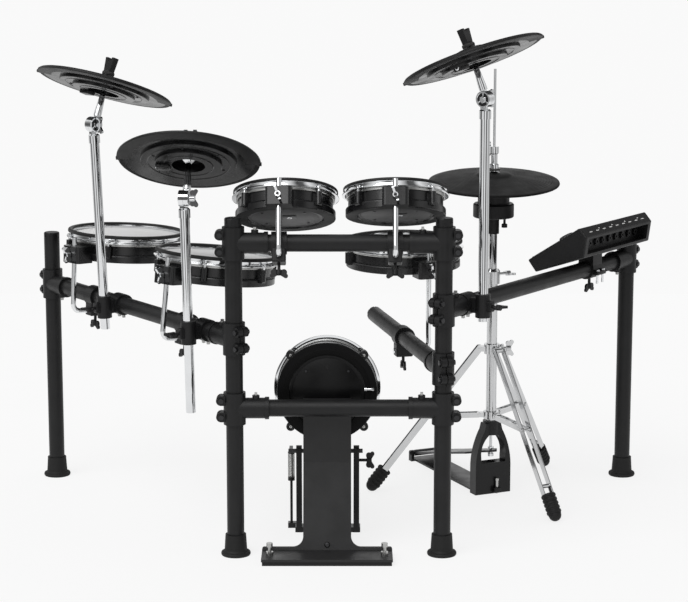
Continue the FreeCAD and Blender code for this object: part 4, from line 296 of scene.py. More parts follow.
# Module's face, from its middle: X along the bar and Y towards the drummer
FACEPLATE_T = 0.0012
FACEPLATE = ((MODULE_LENGTH - 0.018, 0.148, FACEPLATE_T), 0.0005)
FACEPLATE_RIM = 0.003
DISH = -0.0004
DISPLAY_AT = (0.0, -0.032)
DISPLAY = ((0.092, 0.044, 0.0016), 0.0003)
BEZEL = ((0.104, 0.056, 0.0026), 0.0008)
BEZEL_RIM = 0.0045
KEY_ROUND_SHARE = 0.22
KEY_RIM_SHARE = 0.14
SOFT_KEY = (0.013, 0.0065, 0.0026)
SOFT_KEYS = 4
SOFT_KEY_BELOW = 0.017
DRUM_KEY = (0.018, 0.012, 0.0032)
DRUM_KEY_AT = (0.086, -0.049)
DRUM_KEY_PITCH = (0.0235, 0.023)
STEP_KEY = (0.015, 0.009, 0.003)
STEP_KEY_ASIDE = 0.016
STEP_KEY_ROWS = (0.04, -0.04, -0.055)
LAMP = mm((0, 1.6), (0.7, 1.4), (1.2, 0.9), (1.4, 0.2), (1.4, -0.4), (0, -0.4))
LAMP_ABOVE = 0.0088
KNOB = mm((0, 12), (5.2, 12), (6, 11.2), (6.6, 2), (7.4, 1.2), (7.4, 0), (0, 0))
KNOBS = 6
KNOB_FIRST = 0.138
KNOB_PITCH = 0.03
KNOB_ROW = 0.046
POINTER = ((0.0009, 0.0046, 0.0004), 0.0001, 1)
POINTER_AT = (0, -0.0028, 0.0119)
TICK = ((0.0006, 0.0018, 0.0002), 0.00005, 1)
TICK_AT = (0, -0.0105, 0)
TICK_TURNS = range(-135, 136, 45)
DIAL_X = -0.091
DIAL = mm((0, 1.6), (18, 1.6), (18, 10.8), (17.2, 12.4), (16, 13), (14.6, 13), (12.6, 12), (0, 11.4))
DIAL_RIBS = 36
DIAL_RIB = ((0.002, 0.0016, 0.0088), 0.0004, 2)
DIAL_RIB_AT = (0.0178, 0, 0.0018)
DIAL_MARK = ((0.001, 0.0055, 0.0005), 0.0001, 1)
DIAL_MARK_AT = (0, -0.008, 0.0114)

# Module's rear: the jack row with its marks, and the saddle on the bar
JACK_ROW = (-0.05, 0.079)
MODULE_JACKS = 9
JACK_END = 0.035
JACK_NUT = mm((6.6, 0), (10, 0), (10, 2.2), (9.2, 3), (6.6, 3))
PORT = ((0.007, 0.011, 0.0045), 0.0006)
PORT_ASIDE = 0.014
PORT_RIM = 0.0012
PORT_DEPTH = -0.0024
LONG_MARK = ((0.013, 0.0024, 0.0003), 0.0001, 1)
LONG_MARK_Y = -0.002
SHORT_MARK = ((0.0055, 0.0024, 0.0003), 0.0001, 1)
SHORT_MARK_AT = (0.012, 0.0028)
SADDLE_FLANGE = ((0.042, 0.013, 0.01), 0.002)
SADDLE_FLANGE_AT = (0, -0.02855, -0.012)
SADDLE_BOLT = mm((0, -33), (2.4, -33), (3, -32.2), (3, -3), (5.8, -2.8), (5.8, 0.4), (5, 1.4), (0, 1.4))
SADDLE_BOLT_X = (-0.013, 0.013)
SADDLE_BOLT_Y = -0.02905


# Modelling

def choose(*pieces):
    """Only these pieces are selected, and the first is active."""
    bpy.ops.object.select_all(action="DESELECT")
    for piece in pieces:
        piece.select_set(True)
    if pieces:
        bpy.context.view_layer.objects.active = pieces[0]


def mode(name):
    bpy.ops.object.mode_set(mode=name)


def axes(origin, x_dir, z_dir):
    """Place whose Z lies along z_dir, and X along x_dir as nearly as that lets it."""
    z = Vector(z_dir).normalized()
    x = (Vector(x_dir) - z * Vector(x_dir).dot(z)).normalized()
    y = z.cross(x)
    place = Matrix((x, y, z)).transposed().to_4x4()
    place.translation = origin
    return place


def shift(x, y, z):
    return Matrix.Translation((x, y, z))


def turn(degrees, axis="Z"):
    return Matrix.Rotation(math.radians(degrees), 4, axis)


DOWN = turn(180, "X")


def about(r, z, section):
    """Points of a section, moved to a radius and a height."""
    return [(r + out, z + up) for out, up in section]


def hung(r, z, section):
    """The same upside down and in the other order."""
    return [(r + out, z - up) for out, up in reversed(section)]


def scaled(section, size):
    return [(r * size, z * size) for r, z in section]


def arc(r, z, width, height, end):
    """Points on an arc about a middle, from its outer side up to an angle."""
    angles = [math.radians(angle) for angle in range(0, end + 1, ARC_STEP)]
    return [(r + width * math.cos(angle), z + height * math.sin(angle)) for angle in angles]


def turned(name, outline, steps=96):
    """Piece turned about Z from an outline, which comes back to its start unless it starts on the axis."""
    choose()
    bpy.ops.mesh.primitive_plane_add(size=0.01)
    piece = bpy.context.object
    piece.name = name
    mode("EDIT")
    bpy.ops.mesh.merge(type="CENTER")
    bpy.ops.transform.translate(value=(outline[0][0], 0, outline[0][1]))
    last = outline[0]
    for point in outline[1:] + (outline[:1] if outline[0][0] > 0 else []):
        step = (point[0] - last[0], 0, point[1] - last[1])
        bpy.ops.mesh.extrude_region_move(TRANSFORM_OT_translate={"value": step})
        last = point
    bpy.ops.mesh.select_all(action="SELECT")
    bpy.ops.mesh.spin(steps=steps, angle=2 * math.pi, center=(0, 0, 0), axis=(0, 0, 1))
    bpy.ops.mesh.select_all(action="SELECT")
    bpy.ops.mesh.remove_doubles(threshold=SAME_POINT)
    bpy.ops.mesh.normals_make_consistent(inside=False)
    mode("OBJECT")
    return piece


def half_of(piece):
    """Keeps the half of a piece that lies on its -Y side, with its cut ends closed."""
    choose(piece)
    mode("EDIT")
    bpy.ops.mesh.select_all(action="SELECT")
    bpy.ops.mesh.bisect(plane_co=(0, 0, 0), plane_no=(0, 1, 0), use_fill=True, clear_outer=True)
    mode("OBJECT")
    return piece


def block(name, size, bevel, segments=3):
    """Box with rounded edges, standing on Z = 0."""
    choose()
    bpy.ops.mesh.primitive_cube_add(size=1, location=(0, 0, size[2] / 2))
    piece = bpy.context.object
    piece.name = name
    piece.scale = size
    bpy.ops.object.transform_apply(location=True, rotation=True, scale=True)
    mode("EDIT")
    bpy.ops.mesh.select_all(action="SELECT")
    bpy.ops.mesh.bevel(offset=bevel, segments=segments, affect="EDGES")
    mode("OBJECT")
    return piece


def sunk(piece, height, inset, depth):
    """Insets the upward faces at a height and moves them by depth along Z."""
    choose(piece)
    mode("EDIT")
    bpy.ops.mesh.select_mode(type="FACE")
    bpy.ops.mesh.select_all(action="DESELECT")
    mode("OBJECT")
    for face in piece.data.polygons:
        face.select = face.normal.z > UPWARD and abs(face.center.z - height) < SAME_LEVEL
    mode("EDIT")
    bpy.ops.mesh.inset(thickness=inset)
    bpy.ops.mesh.extrude_region_move(TRANSFORM_OT_translate={"value": (0, 0, depth)})
    bpy.ops.mesh.select_mode(type="VERT")
    mode("OBJECT")
    return piece


def rounded(piece, width, segments=2):
    """Rounds the sharp edges of a piece."""
    edges = piece.modifiers.new("edges", "BEVEL")
    edges.width = width
    edges.segments = segments
    edges.limit_method = "ANGLE"
    edges.angle_limit = math.radians(SHARP_ANGLE)
    choose(piece)
    bpy.ops.object.modifier_apply(modifier=edges.name)
    return piece


def smooth(piece, degrees=SMOOTH_ANGLE):
    choose(piece)
    bpy.ops.object.shade_smooth_by_angle(angle=math.radians(degrees))
    return piece


def set_down(piece, place):
    """Moves a piece to its place and keeps the place in its mesh."""
    choose(piece)
    piece.matrix_world = place
    bpy.ops.object.transform_apply(location=True, rotation=True, scale=True)
    return piece


def copies(pattern, name, places):
    """One piece of a pattern's copies, one at each place; the pattern itself goes."""
    pieces = []
    for place in places:
        choose(pattern)
        bpy.ops.object.duplicate(linked=False)
        pieces.append(set_down(bpy.context.object, place))
    bpy.data.objects.remove(pattern)
    return joined(pieces, name)


def joined(pieces, name):
    choose(*pieces)
    if len(pieces) > 1:
        bpy.ops.object.join()
    piece = bpy.context.object
    piece.name = name
    return piece


def fit(piece, body, slot, finish, *stands_for):
    """Gives a piece its finish and its body, and hides the nodes that it stands for."""
    piece.data.materials.clear()
    piece.data.materials.append(finish)
    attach(piece, body)
    if stands_for:
        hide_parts(*stands_for)
    return piece


def placed(piece, place, body, slot, finish, *stands_for, degrees=SMOOTH_ANGLE):
    """Sets a piece down at its place, smooths it and fits it out."""
    return fit(smooth(set_down(piece, place), degrees), body, slot, finish, *stands_for)


def placed_copies(pattern, name, places, body, slot, finish, degrees=SMOOTH_ANGLE):
    """One smooth piece of a pattern's copies, fitted out."""
    return fit(smooth(copies(pattern, name, places), degrees), body, slot, finish)


def met_ahead(node, x, z):
    """Point and normal of a node where a line of sight from the audience meets it."""
    start = Vector((x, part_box(node)[0].y - RAY_AHEAD, z))
    _, point, normal, _ = frame["nodes"][node].ray_cast(start, EY)
    return point, normal


# Finishes

def given(tree, node, inputs):
    """Sets a node's inputs to values, or links them to other nodes' outputs."""
    for name, value in inputs.items():
        if isinstance(value, bpy.types.NodeSocket):
            tree.links.new(value, node.inputs[name])
        else:
            node.inputs[name].default_value = value


def added(tree, kind, inputs, output=0):
    """An output of a new node with these inputs."""
    node = tree.nodes.new("ShaderNode" + kind)
    given(tree, node, inputs)
    return node.outputs[output]


def shader(name):
    finish = bpy.data.materials.new(name)
    finish.use_nodes = True
    return finish, finish.node_tree, finish.node_tree.nodes["Principled BSDF"]


def noise(tree, where, scale, detail):
    return added(tree, "TexNoise", {"Vector": where, "Scale": scale, "Detail": detail}, "Fac")


def two_tones(tree, mask, dark, light, span=PATCH_SPAN):
    colour = added(tree, "ValToRGB", {"Fac": mask}, "Color")
    for stop, position, tone in zip(colour.node.color_ramp.elements, span, (dark, light)):
        stop.position = position
        stop.color = (*tone, 1)
    return colour


def between(tree, mask, low, high):
    start, end = PATCH_SPAN
    limits = {"From Min": start, "From Max": end, "To Min": low, "To Max": high}
    return added(tree, "MapRange", {"Value": mask, **limits}, "Result")


def relief(tree, height, strength, depth):
    return added(tree, "Bump", {"Height": height, "Strength": strength, "Distance": depth}, "Normal")


def largest(tree, outputs):
    """The largest of some outputs."""
    found = outputs[0]
    for output in outputs[1:]:
        found = added(tree, "Math", {0: found, 1: output})
        found.node.operation = "MAXIMUM"
    return found


def grained(name, colour, rough, grain, bump, metal=0.0, blotch=22.0, spread=0.2, uneven=0.07, shine=0.3):
    """Finish with faint blotches of colour, uneven gloss and a fine grain, in the part's own space."""
    finish, tree, surface = shader(name)
    where = added(tree, "TexCoord", {}, "Object")
    patches = noise(tree, where, blotch, PATCH_DETAIL)
    fine = noise(tree, where, grain, GRAIN_DETAIL)
    dark = [tone * (1 - spread) for tone in colour]
    light = [min(1, tone * (1 + spread)) for tone in colour]
    given(tree, surface, {"Base Color": two_tones(tree, patches, dark, light),
                          "Roughness": between(tree, patches, rough - uneven, rough + uneven),
                          "Normal": relief(tree, fine, bump, GRAIN_DEPTH),
                          "Metallic": metal, "Specular IOR Level": shine})
    return finish


def woven(name, thread, hole, pitch):
    """Plain weave on a piece's own flat map, threads over and under at the pitch."""
    finish, tree, surface = shader(name)
    where = added(tree, "UVMap", {}, "UV")
    scale = 2 * math.pi / (WAVE_RATE * pitch)
    waves = []
    for direction in ("X", "Y"):
        wave = added(tree, "TexWave", {"Vector": where, "Scale": scale, "Distortion": WEAVE_STRAY}, "Fac")
        wave.node.bands_direction = direction
        waves.append(wave)
    over = largest(tree, waves)
    given(tree, surface, {"Base Color": two_tones(tree, over, hole, thread, WEAVE_SPAN),
                          "Roughness": between(tree, over, *WEAVE_ROUGH),
                          "Normal": relief(tree, over, WEAVE_BUMP, WEAVE_DEPTH)})
    return finish


RACK_PAINT = grained("rack_paint", (0.012, 0.012, 0.0124), 0.42, 1100, 0.1, shine=0.25)
TOWER_PAINT = grained("tower_paint", (0.018, 0.018, 0.0185), 0.42, 1100, 0.1)
CLAMP_PLASTIC = grained("clamp_plastic", (0.009, 0.009, 0.0095), 0.44, 1500, 0.16)
CAST_BLACK = grained("cast_black", (0.007, 0.007, 0.0074), 0.34, 500, 0.14)
FOOT_RUBBER = grained("foot_rubber", (0.01, 0.01, 0.01), 0.66, 700, 0.22)
CHROME = grained("chrome", (0.76, 0.77, 0.78), 0.07, 300, 0.01, metal=1.0, spread=0.04, uneven=0.03)
# Chrome of the hi-hat stand: the same chrome painted darker, as painted shade for the darker reflections that its
# tubes and legs show.
SHADED_STAND_CHROME = grained("shaded_stand_chrome", (0.58, 0.585, 0.59), 0.1, 300, 0.01, metal=1.0, spread=0.05, uneven=0.03)
ZINC = grained("zinc", (0.46, 0.46, 0.45), 0.28, 1200, 0.08, metal=1.0, spread=0.12)
BLACK_ZINC = grained("black_zinc", (0.05, 0.05, 0.052), 0.32, 1200, 0.08, metal=1.0)
SHELL_PLASTIC = grained("shell_plastic", (0.008, 0.008, 0.0085), 0.24, 1300, 0.04, shine=0.5)
KICK_PLASTIC = grained("kick_plastic", (0.004, 0.004, 0.0042), 0.38, 1300, 0.06, shine=0.2)
# Shells' bottom faces: darker and duller than the shell, as painted shade that holds back the floor's reflection.
SHADED_BASE_PLASTIC = grained("shaded_base_plastic", (0.004, 0.004, 0.0042), 0.55, 1300, 0.08, shine=0.1)
# Plate under the toms and their jack seats: a greyer plastic than the shell, made paler still with painted bounce
# light from the white floor below.
BOUNCE_LIT_PLATE_PLASTIC = grained("bounce_lit_plate_plastic", (0.058, 0.058, 0.059), 0.48, 1400, 0.12)
RIM_RUBBER = grained("rim_rubber", (0.009, 0.009, 0.009), 0.48, 900, 0.14)
PAD_RUBBER = grained("pad_rubber", (0.007, 0.007, 0.007), 0.52, 1000, 0.14, shine=0.12)
PAD_PLASTIC = grained("pad_plastic", (0.005, 0.005, 0.0053), 0.24, 1200, 0.012, shine=0.3)
FELT = grained("felt", (0.045, 0.044, 0.043), 0.95, 2600, 0.8, blotch=260, spread=0.45, uneven=0.04)
BEATER_FELT = grained("beater_felt", (0.52, 0.5, 0.46), 0.95, 2200, 0.8, blotch=200, uneven=0.04)
BOARD_METAL = grained("board_metal", (0.05, 0.05, 0.052), 0.36, 420, 0.3, metal=0.6)
MODULE_CASE = grained("module_case", (0.01, 0.01, 0.0105), 0.46, 1700, 0.14)
MODULE_PANEL = grained("module_panel", (0.007, 0.007, 0.0075), 0.24, 1900, 0.05, shine=0.5)
KEY_GREY = grained("key_grey", (0.06, 0.061, 0.064), 0.48, 1700, 0.08)
KEY_PALE = grained("key_pale", (0.42, 0.42, 0.41), 0.46, 1700, 0.06)
SCREEN = grained("screen", (0.014, 0.02, 0.026), 0.06, 2000, 0.01, uneven=0.03, shine=0.5)
GROOVE_BLACK = grained("groove_black", (0.003, 0.003, 0.003), 0.6, 900, 0.1, shine=0.1)
MARK_WHITE = grained("mark_white", (0.62, 0.62, 0.61), 0.5, 2000, 0.05, spread=0.06)
LAMP_RED = grained("lamp_red", (0.42, 0.02, 0.016), 0.18, 2000, 0.02, shine=0.5)
MESH_HEAD = woven("mesh_head", (0.94, 0.94, 0.93), (0.82, 0.82, 0.82), WEAVE_PITCH)


# Solids of the frame

def corners(node):
    mesh = frame["nodes"][node].data
    flat = np.empty(len(mesh.vertices) * 3, np.float32)
    mesh.vertices.foreach_get("co", flat)
    return flat.reshape(-1, 3).astype(float)


def triangles(node):
    mesh = frame["nodes"][node].data
    flat = np.empty(len(mesh.loops), np.int32)
    mesh.loops.foreach_get("vertex_index", flat)
    return flat.reshape(-1, 3)


def solids(node):
    """Number of the solid that each face of a node belongs to, with each solid's middle and diagonal."""
    points = corners(node)
    faces = triangles(node)
    _, same = np.unique(np.round(points * WELDS_PER_METRE).astype(np.int64), axis=0, return_inverse=True)
    faces_of_same = same.reshape(-1)[faces]
    label = np.arange(faces_of_same.max() + 1)
    while True:
        least = label[faces_of_same].min(axis=1)
        lower = label.copy()
        np.minimum.at(lower, faces_of_same.ravel(), np.repeat(least, 3))
        lower = lower[lower]
        if (lower == label).all():
            break
        label = lower
    of_face = label[faces_of_same[:, 0]]
    found = []
    for number in np.unique(of_face):
        own = points[faces[of_face == number].ravel()]
        low, high = own.min(axis=0), own.max(axis=0)
        found.append((of_face == number, Vector((low + high) / 2), float(np.linalg.norm(high - low))))
    return found


def paint(node, finish, by_solid=(), by_face=()):
    """Gives a node its finish, then others to the solids and to the faces that pass a test."""
    mesh = frame["nodes"][node].data
    finishes = [finish]
    index = np.zeros(len(mesh.polygons), np.int32)
    if by_solid:
        for mask, middle, diagonal in solids(node):
            for other, test in by_solid:
                if test(middle, diagonal):
                    finishes.append(other)
                    index[mask] = len(finishes) - 1
                    break
    if by_face:
        middles = corners(node)[triangles(node)].mean(axis=1)
        for other, test in by_face:
            finishes.append(other)
            index[[bool(test(Vector(middle))) for middle in middles]] = len(finishes) - 1
    mesh.materials.clear()
    for one in finishes:
        mesh.materials.append(one)
    mesh.polygons.foreach_set("material_index", index)
    mesh.update()


def smaller(size):
    return lambda middle, diagonal: diagonal < size


def larger(size):
    return lambda middle, diagonal: diagonal > size


FASTENERS = [(ZINC, smaller(NUT_SIZE)), (BLACK_ZINC, smaller(BOLT_SIZE))]
FOOT_SOLID = (FOOT_RUBBER, lambda middle, diagonal: middle.z < FOOT_HEIGHT)


def rack_finishes():
    for name in ("front", "left_wing", "right_wing"):
        paint(name + "_tubes", RACK_PAINT)
        paint(name + "_fittings", CLAMP_PLASTIC, [FOOT_SOLID] + FASTENERS)
    paint("snare_arm", CLAMP_PLASTIC, [(RACK_PAINT, larger(SNARE_BAR_SIZE))] + FASTENERS)


# Drum pads

def drum_axes(name):
    """Place of a drum's own axes, its shell's bottom at Z = 0 and its bracket on -Y, and its shell's radius."""
    if name == "kick":
        axis, bracket = EY, EZ
    else:
        axis = Vector(joints[name + "_height"]["axis"])
        rod_low, rod_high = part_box(name + "_mount")
        shell_low, shell_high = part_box(name + "_head")
        bracket = (rod_low + rod_high) / 2 - (shell_low + shell_high) / 2
    place = axes((0, 0, 0), axis.cross(bracket), axis)
    own = corners(name + "_head") @ np.array(place.to_3x3())
    low, high = own.min(axis=0), own.max(axis=0)
    if name != "kick":
        beyond = corners(name + "_shell") @ np.array(place.to_3x3()) - (low + high) / 2
        reach = np.hypot(beyond[:, 0], beyond[:, 1])
        front = beyond[reach > reach.max() - BRACKET_TIP].mean(axis=0)
        place = place @ turn(math.degrees(math.atan2(front[0], -front[1])))
        own = corners(name + "_head") @ np.array(place.to_3x3())
        low, high = own.min(axis=0), own.max(axis=0)
    middle = (low + high) / 2
    place.translation = place.to_3x3() @ Vector((middle[0], middle[1], high[2] - HEAD_TOP))
    radius = (high[0] - low[0]) / 2 - FLESH_WIDTH - FLESH_PAST_SHELL
    return place, radius


def flat_map(piece):
    """Map of a piece in its own X and Y, for a weave that lies square in it."""
    layer = piece.data.uv_layers.new(name="weave")
    for loop in piece.data.loops:
        point = piece.data.vertices[loop.vertex_index].co
        layer.data[loop.index].uv = (point.x, point.y)


def drum_head(name, body, place, radius):
    """Stretched mesh head, drawn over the bearing edge down to its flesh hoop."""
    skirt = radius + HEAD_PAST_SHELL
    outline = [(0, HEAD_TOP + HEAD_CROWN)]
    outline += [(radius * share, HEAD_TOP + HEAD_CROWN * (1 - share ** 4)) for share in HEAD_SHARES]
    outline += about(radius, HEAD_TOP, HEAD_SHOULDER) + about(skirt, DRUM_EDGE, HEAD_BEND) + [(skirt, FLESH_TOP)]
    head = turned(name + "_mesh_head", outline)
    flat_map(head)
    thick = head.modifiers.new("thickness", "SOLIDIFY")
    thick.thickness = HEAD_THICK
    thick.offset = -1
    choose(head)
    bpy.ops.object.modifier_apply(modifier=thick.name)
    placed(head, place, body, "mesh_head", MESH_HEAD, name + "_head")
    ring_in = radius + FLESH_PAST_SHELL
    ring = turned(name + "_flesh_hoop", [(ring_in, FLESH_LOW), (ring_in + FLESH_WIDTH, FLESH_LOW),
                                         (ring_in + FLESH_WIDTH, FLESH_TOP), (ring_in, FLESH_TOP)])
    placed(rounded(ring, FLESH_ROUND), place, body, STEEL, ZINC)


def key_screw():
    """Tension screw with washer, flange and square key head, standing at its place on Z."""
    seat = HOOP_LOW + HOOP_WALL
    outline = [(0, KEY_LOW)] + about(KEY_SHANK_R, KEY_LOW, KEY_TIP) + [(KEY_SHANK_R, seat)]
    body = turned("key_screw", outline + about(KEY_FLANGE_R, seat, KEY_FLANGE), steps=20)
    low = seat + KEY_SQUARE_LOW
    square = block("key_square", (KEY_SQUARE, KEY_SQUARE, KEY_TOP - low), KEY_SQUARE_ROUND, 2)
    return joined([body, set_down(square, shift(0, 0, low))], "key_screw")


def screw_spots(name, place):
    """Where a hoop's key screws stand, in the drum's own axes."""
    to_drum = place.inverted()
    return [to_drum @ middle for _, middle, diagonal in solids(name + "_hoop") if diagonal < HOOP_SCREW_SIZE]


def drum_hoop(name, body, place, radius):
    """Chrome hoop with its rubber rim and the key screws that pull it down."""
    inner = radius + HOOP_PAST_SHELL
    outer = inner + HOOP_WALL
    lip = inner + HOOP_LIP
    flange = inner + HOOP_FLANGE
    flange_top = HOOP_LOW + HOOP_WALL
    lip_low = HOOP_TOP - HOOP_WALL
    outline = [(inner, HOOP_LOW), (flange, HOOP_LOW), (flange, flange_top)] + about(outer, flange_top, HOOP_FILLET)
    outline += hung(outer, lip_low, HOOP_FILLET) + [(lip, lip_low), (lip, HOOP_TOP), (inner, HOOP_TOP)]
    hoop = turned(name + "_chrome_hoop", outline, steps=128)
    placed(rounded(hoop, HOOP_ROUND), place, body, "chrome", CHROME, name + "_hoop")
    rim_in = inner - RIM_WALL
    rim_out = lip + RIM_WALL
    crown = arc((rim_in + rim_out) / 2, HOOP_TOP, (rim_out - rim_in) / 2, RIM_CROWN, 180)
    step = RIM_LOW + RIM_STEP
    rim = turned(name + "_rubber_rim", [(rim_in, step), (inner, step), (inner, HOOP_TOP), (lip, HOOP_TOP),
                                        (lip, RIM_LOW), (rim_out, RIM_LOW)] + crown, steps=128)
    placed(rounded(rim, RIM_ROUND), place, body, RUBBER, RIM_RUBBER)
    stands = [place @ shift(own.x, own.y, 0) @ turn(math.degrees(math.atan2(own.y, own.x)))
              for own in screw_spots(name, place)]
    placed_copies(key_screw(), name + "_key_screws", stands, body, "chrome", CHROME)


def screw_head(size, name="screw_head"):
    """Round head with a socket, its seat at the origin."""
    return turned(name, scaled(SCREW_HEAD, size), steps=16)


def socket_ring(size, name):
    """Nut ring round a jack's hole, its seat at the origin."""
    return turned(name, scaled(SOCKET_RING, size), steps=24)


def floor_plate(name, body, place, radius, finish):
    """Plate in the recess under a pad, with its screws; gives the height of its lower face."""
    plate_r = radius * RECESS_SHARE - FLOOR_PLAY
    low = RECESS_DEPTH - FLOOR_THICK
    outline = [(0, RECESS_DEPTH), (plate_r, RECESS_DEPTH)] + about(plate_r, low, FLOOR_EDGE) + [(0, low)]
    placed(turned(name + "_floor_plate", outline), place, body, PLASTIC, finish)
    stands = [place @ turn(45 + 360 / FLOOR_SCREWS * i) @ shift(plate_r - FLOOR_SCREW_IN, 0, low) @ DOWN
              for i in range(FLOOR_SCREWS)]
    placed_copies(screw_head(PLATE_SCREW_R), name + "_floor_screws", stands, body, STEEL, BLACK_ZINC)
    return low


def tom_jack(name, body, place, low):
    """Jack under a pad, in its moulded seat."""
    middle = place @ shift(*TOM_JACK_AT, low - TOM_JACK_DROP)
    seat = block(name + "_jack_seat", *TOM_JACK_SEAT)
    # The jack's seat is paler than the shell: partly lighter plastic, partly painted bounce light from the floor.
    placed(seat, middle, body, PLASTIC, BOUNCE_LIT_PLATE_PLASTIC)
    placed(socket_ring(TOM_JACK_R, name + "_jack_ring"), middle @ DOWN, body, "chrome", CHROME)


def kick_back(place, radius, low):
    """Dark groove, sight hole, side jack and lug caps on the kick pad's back."""
    edge = radius * RECESS_SHARE
    groove = turned("kick_groove", about(edge, 0, KICK_GROOVE))
    placed(groove, place, "root", RUBBER, GROOVE_BLACK)
    hole = turned("kick_sight_hole", SIGHT_HOLE, steps=24)
    placed(hole, place @ shift(0, SIGHT_HOLE_Y, low) @ DOWN, "root", PLASTIC, FOOT_RUBBER)
    jack = turned("kick_side_jack", SIDE_JACK, steps=24)
    placed(jack, place @ shift(edge, 0, 0) @ shift(*SIDE_JACK_AT) @ turn(90, "Y"), "root", "chrome", CHROME)
    stands = [place @ shift(own.x, own.y, LUG_CAP_Z) @ DOWN for own in screw_spots("kick", place)]
    cap = turned("lug_cap", LUG_CAP, steps=32)
    placed_copies(cap, "kick_lug_caps", stands, "root", PLASTIC, CLAMP_PLASTIC)
    sunk_stands = [stand @ shift(0, 0, LUG_CAP_SEAT) for stand in stands]
    placed_copies(screw_head(LUG_SCREW_R), "kick_lug_screws", sunk_stands, "root", STEEL, ZINC)


def wing_shade_disc(name, body, place, is_wing):
    """Dark screw head in the middle of a bracket's wings: painted shade that stands in for the shade in the hollow
    of the wing screw's boss.
    """
    to_drum = np.array(place.inverted())
    for mask, middle, diagonal in solids(name + "_shell"):
        if is_wing(middle, diagonal):
            points = corners(name + "_shell")[triangles(name + "_shell")[mask]].reshape(-1, 3)
            own = points @ to_drum[:3, :3].T + to_drum[:3, 3]
            low, high = own.min(axis=0), own.max(axis=0)
            ahead = place @ Vector(((low[0] + high[0]) / 2, low[1] - WING_AHEAD, (low[2] + high[2]) / 2))
            inward = place.to_3x3() @ EY
            _, point, _, _ = frame["nodes"][name + "_shell"].ray_cast(ahead, inward)
            stand = axes(point, place.to_3x3() @ EX, -inward)
            placed(screw_head(WING_SHADE_R, name + "_wing_shade_disc"), stand, body, STEEL, BLACK_ZINC)


def drums():
    for name in ("rack_tom_1", "rack_tom_2", "floor_tom_1", "floor_tom_2", "snare", "kick"):
        body = "root" if name == "kick" else name
        place, radius = drum_axes(name)
        to_drum = place.inverted()
        far = radius + WING_REACH

        def is_wing(middle, diagonal):
            return diagonal < WING_SIZE and (to_drum @ middle).xy.length > far

        # The faces on the shell's bottom get a darker, duller finish: painted shade on the underside.
        paint(name + "_shell", SHELL_PLASTIC, [(CHROME, is_wing)],
              [(SHADED_BASE_PLASTIC, lambda middle: (to_drum @ middle).z < BASE_LEVEL)])
        drum_head(name, body, place, radius)
        drum_hoop(name, body, place, radius)
        if name == "kick":
            kick_back(place, radius, floor_plate(name, body, place, radius, KICK_PLASTIC))
        else:
            # The toms' plates are paler than their shells: partly lighter plastic, partly painted bounce light
            # from the floor.
            tom_jack(name, body, place, floor_plate(name, body, place, radius, BOUNCE_LIT_PLATE_PLASTIC))
            # A dark head on the wing screw: painted shade for the hollow in its boss.
            wing_shade_disc(name, body, place, is_wing)
            paint(name + "_mount", CLAMP_PLASTIC, [(CHROME, larger(BENT_ROD_SIZE))])


# Cymbals

def pad_height(r):
    """Height of a cymbal pad's upper face."""
    return float(np.interp(r, *zip(*PAD_SLOPE)))


def step_down(r, high, low):
    """Rounded edge of a terrace."""
    return [(r, high)] + about(r, low, STEP_FOOT)


def cymbal_pad(name, body, place, terrace, node):
    """Rubber pad with pressed rings on top, and its terraced plate with screws and jack box below."""
    outline = list(PAD_CUP)
    for i in range(RINGS):
        r = RING_FIRST + i * RING_PITCH
        outline += [(r - RING_HALF, pad_height(r - RING_HALF)), (r, pad_height(r) - RING_DEPTH),
                    (r + RING_HALF, pad_height(r + RING_HALF))]
    rubber = turned(name + "_rubber", outline + PAD_EDGE + PAD_SEAM[::-1], steps=144)
    placed(rubber, place, body, RUBBER, PAD_RUBBER, node, degrees=25)

    outline = PLATE_HUB + PAD_SEAM + PLATE_LIP
    low = PLATE_FIRST
    for edge, bead in TERRACES:
        outline += step_down(edge, low, low - terrace) + about(bead, low - terrace, BEAD)
        low -= terrace
    outline += step_down(PLATE_CUP_R, low, PLATE_CUP_Z) + PLATE_FOOT
    plate = turned(name + "_plate", outline, steps=128)
    jack_low = low - JACK_BELOW
    jack = block("jack_box", (*JACK_SIZE, -JACK_TOP - jack_low), JACK_ROUND)
    set_down(jack, shift(JACK_NEAR + JACK_SIZE[0] / 2, 0, jack_low))
    plate = joined([plate, jack], name + "_plate")
    placed(plate, place, body, PLASTIC, PAD_PLASTIC, degrees=32)

    stands = [place @ turn(30 + 360 / PLATE_SCREWS * i) @ shift(PLATE_SCREW_AT, 0, low + terrace) @ DOWN
              for i in range(PLATE_SCREWS)]
    placed_copies(screw_head(PLATE_SCREW_R), name + "_plate_screws", stands, body, STEEL, BLACK_ZINC)
    mouth = place @ shift(JACK_NEAR + JACK_SIZE[0], 0, low) @ turn(90, "Y")
    placed(socket_ring(PAD_JACK_R, name + "_jack_ring"), mouth, body, "chrome", CHROME)


def edge_strip(name, body, place):
    """Rubber strip round the audience's half of a pad's edge, with a clip at each end."""
    audience = place.to_3x3().inverted() @ -EY
    facing = turn(math.degrees(math.atan2(audience.x, -audience.y)))
    strip = turned("edge_strip", STRIP)
    clip = block("clip", *CLIP)
    clips = copies(clip, "clips", [shift(side * CLIP_AT, 0, CLIP_Z) for side in (-1, 1)])
    edge = joined([half_of(strip), clips], name + "_edge_strip")
    placed(edge, place @ facing, body, RUBBER, RIM_RUBBER, degrees=30)


def felt_washer(name, body, place, high):
    """Pressed felt washer, a little proud of the one that it covers."""
    outline = [(FELT_BORE, FELT_LOW)] + about(FELT_R, FELT_LOW, FELT_EDGE)
    outline += [(FELT_R + FELT_BULGE, (FELT_LOW + high) / 2)] + hung(FELT_R, high, FELT_EDGE) + [(FELT_BORE, high)]
    placed(turned(name, outline, steps=40), place, body, RUBBER, FELT, degrees=60)


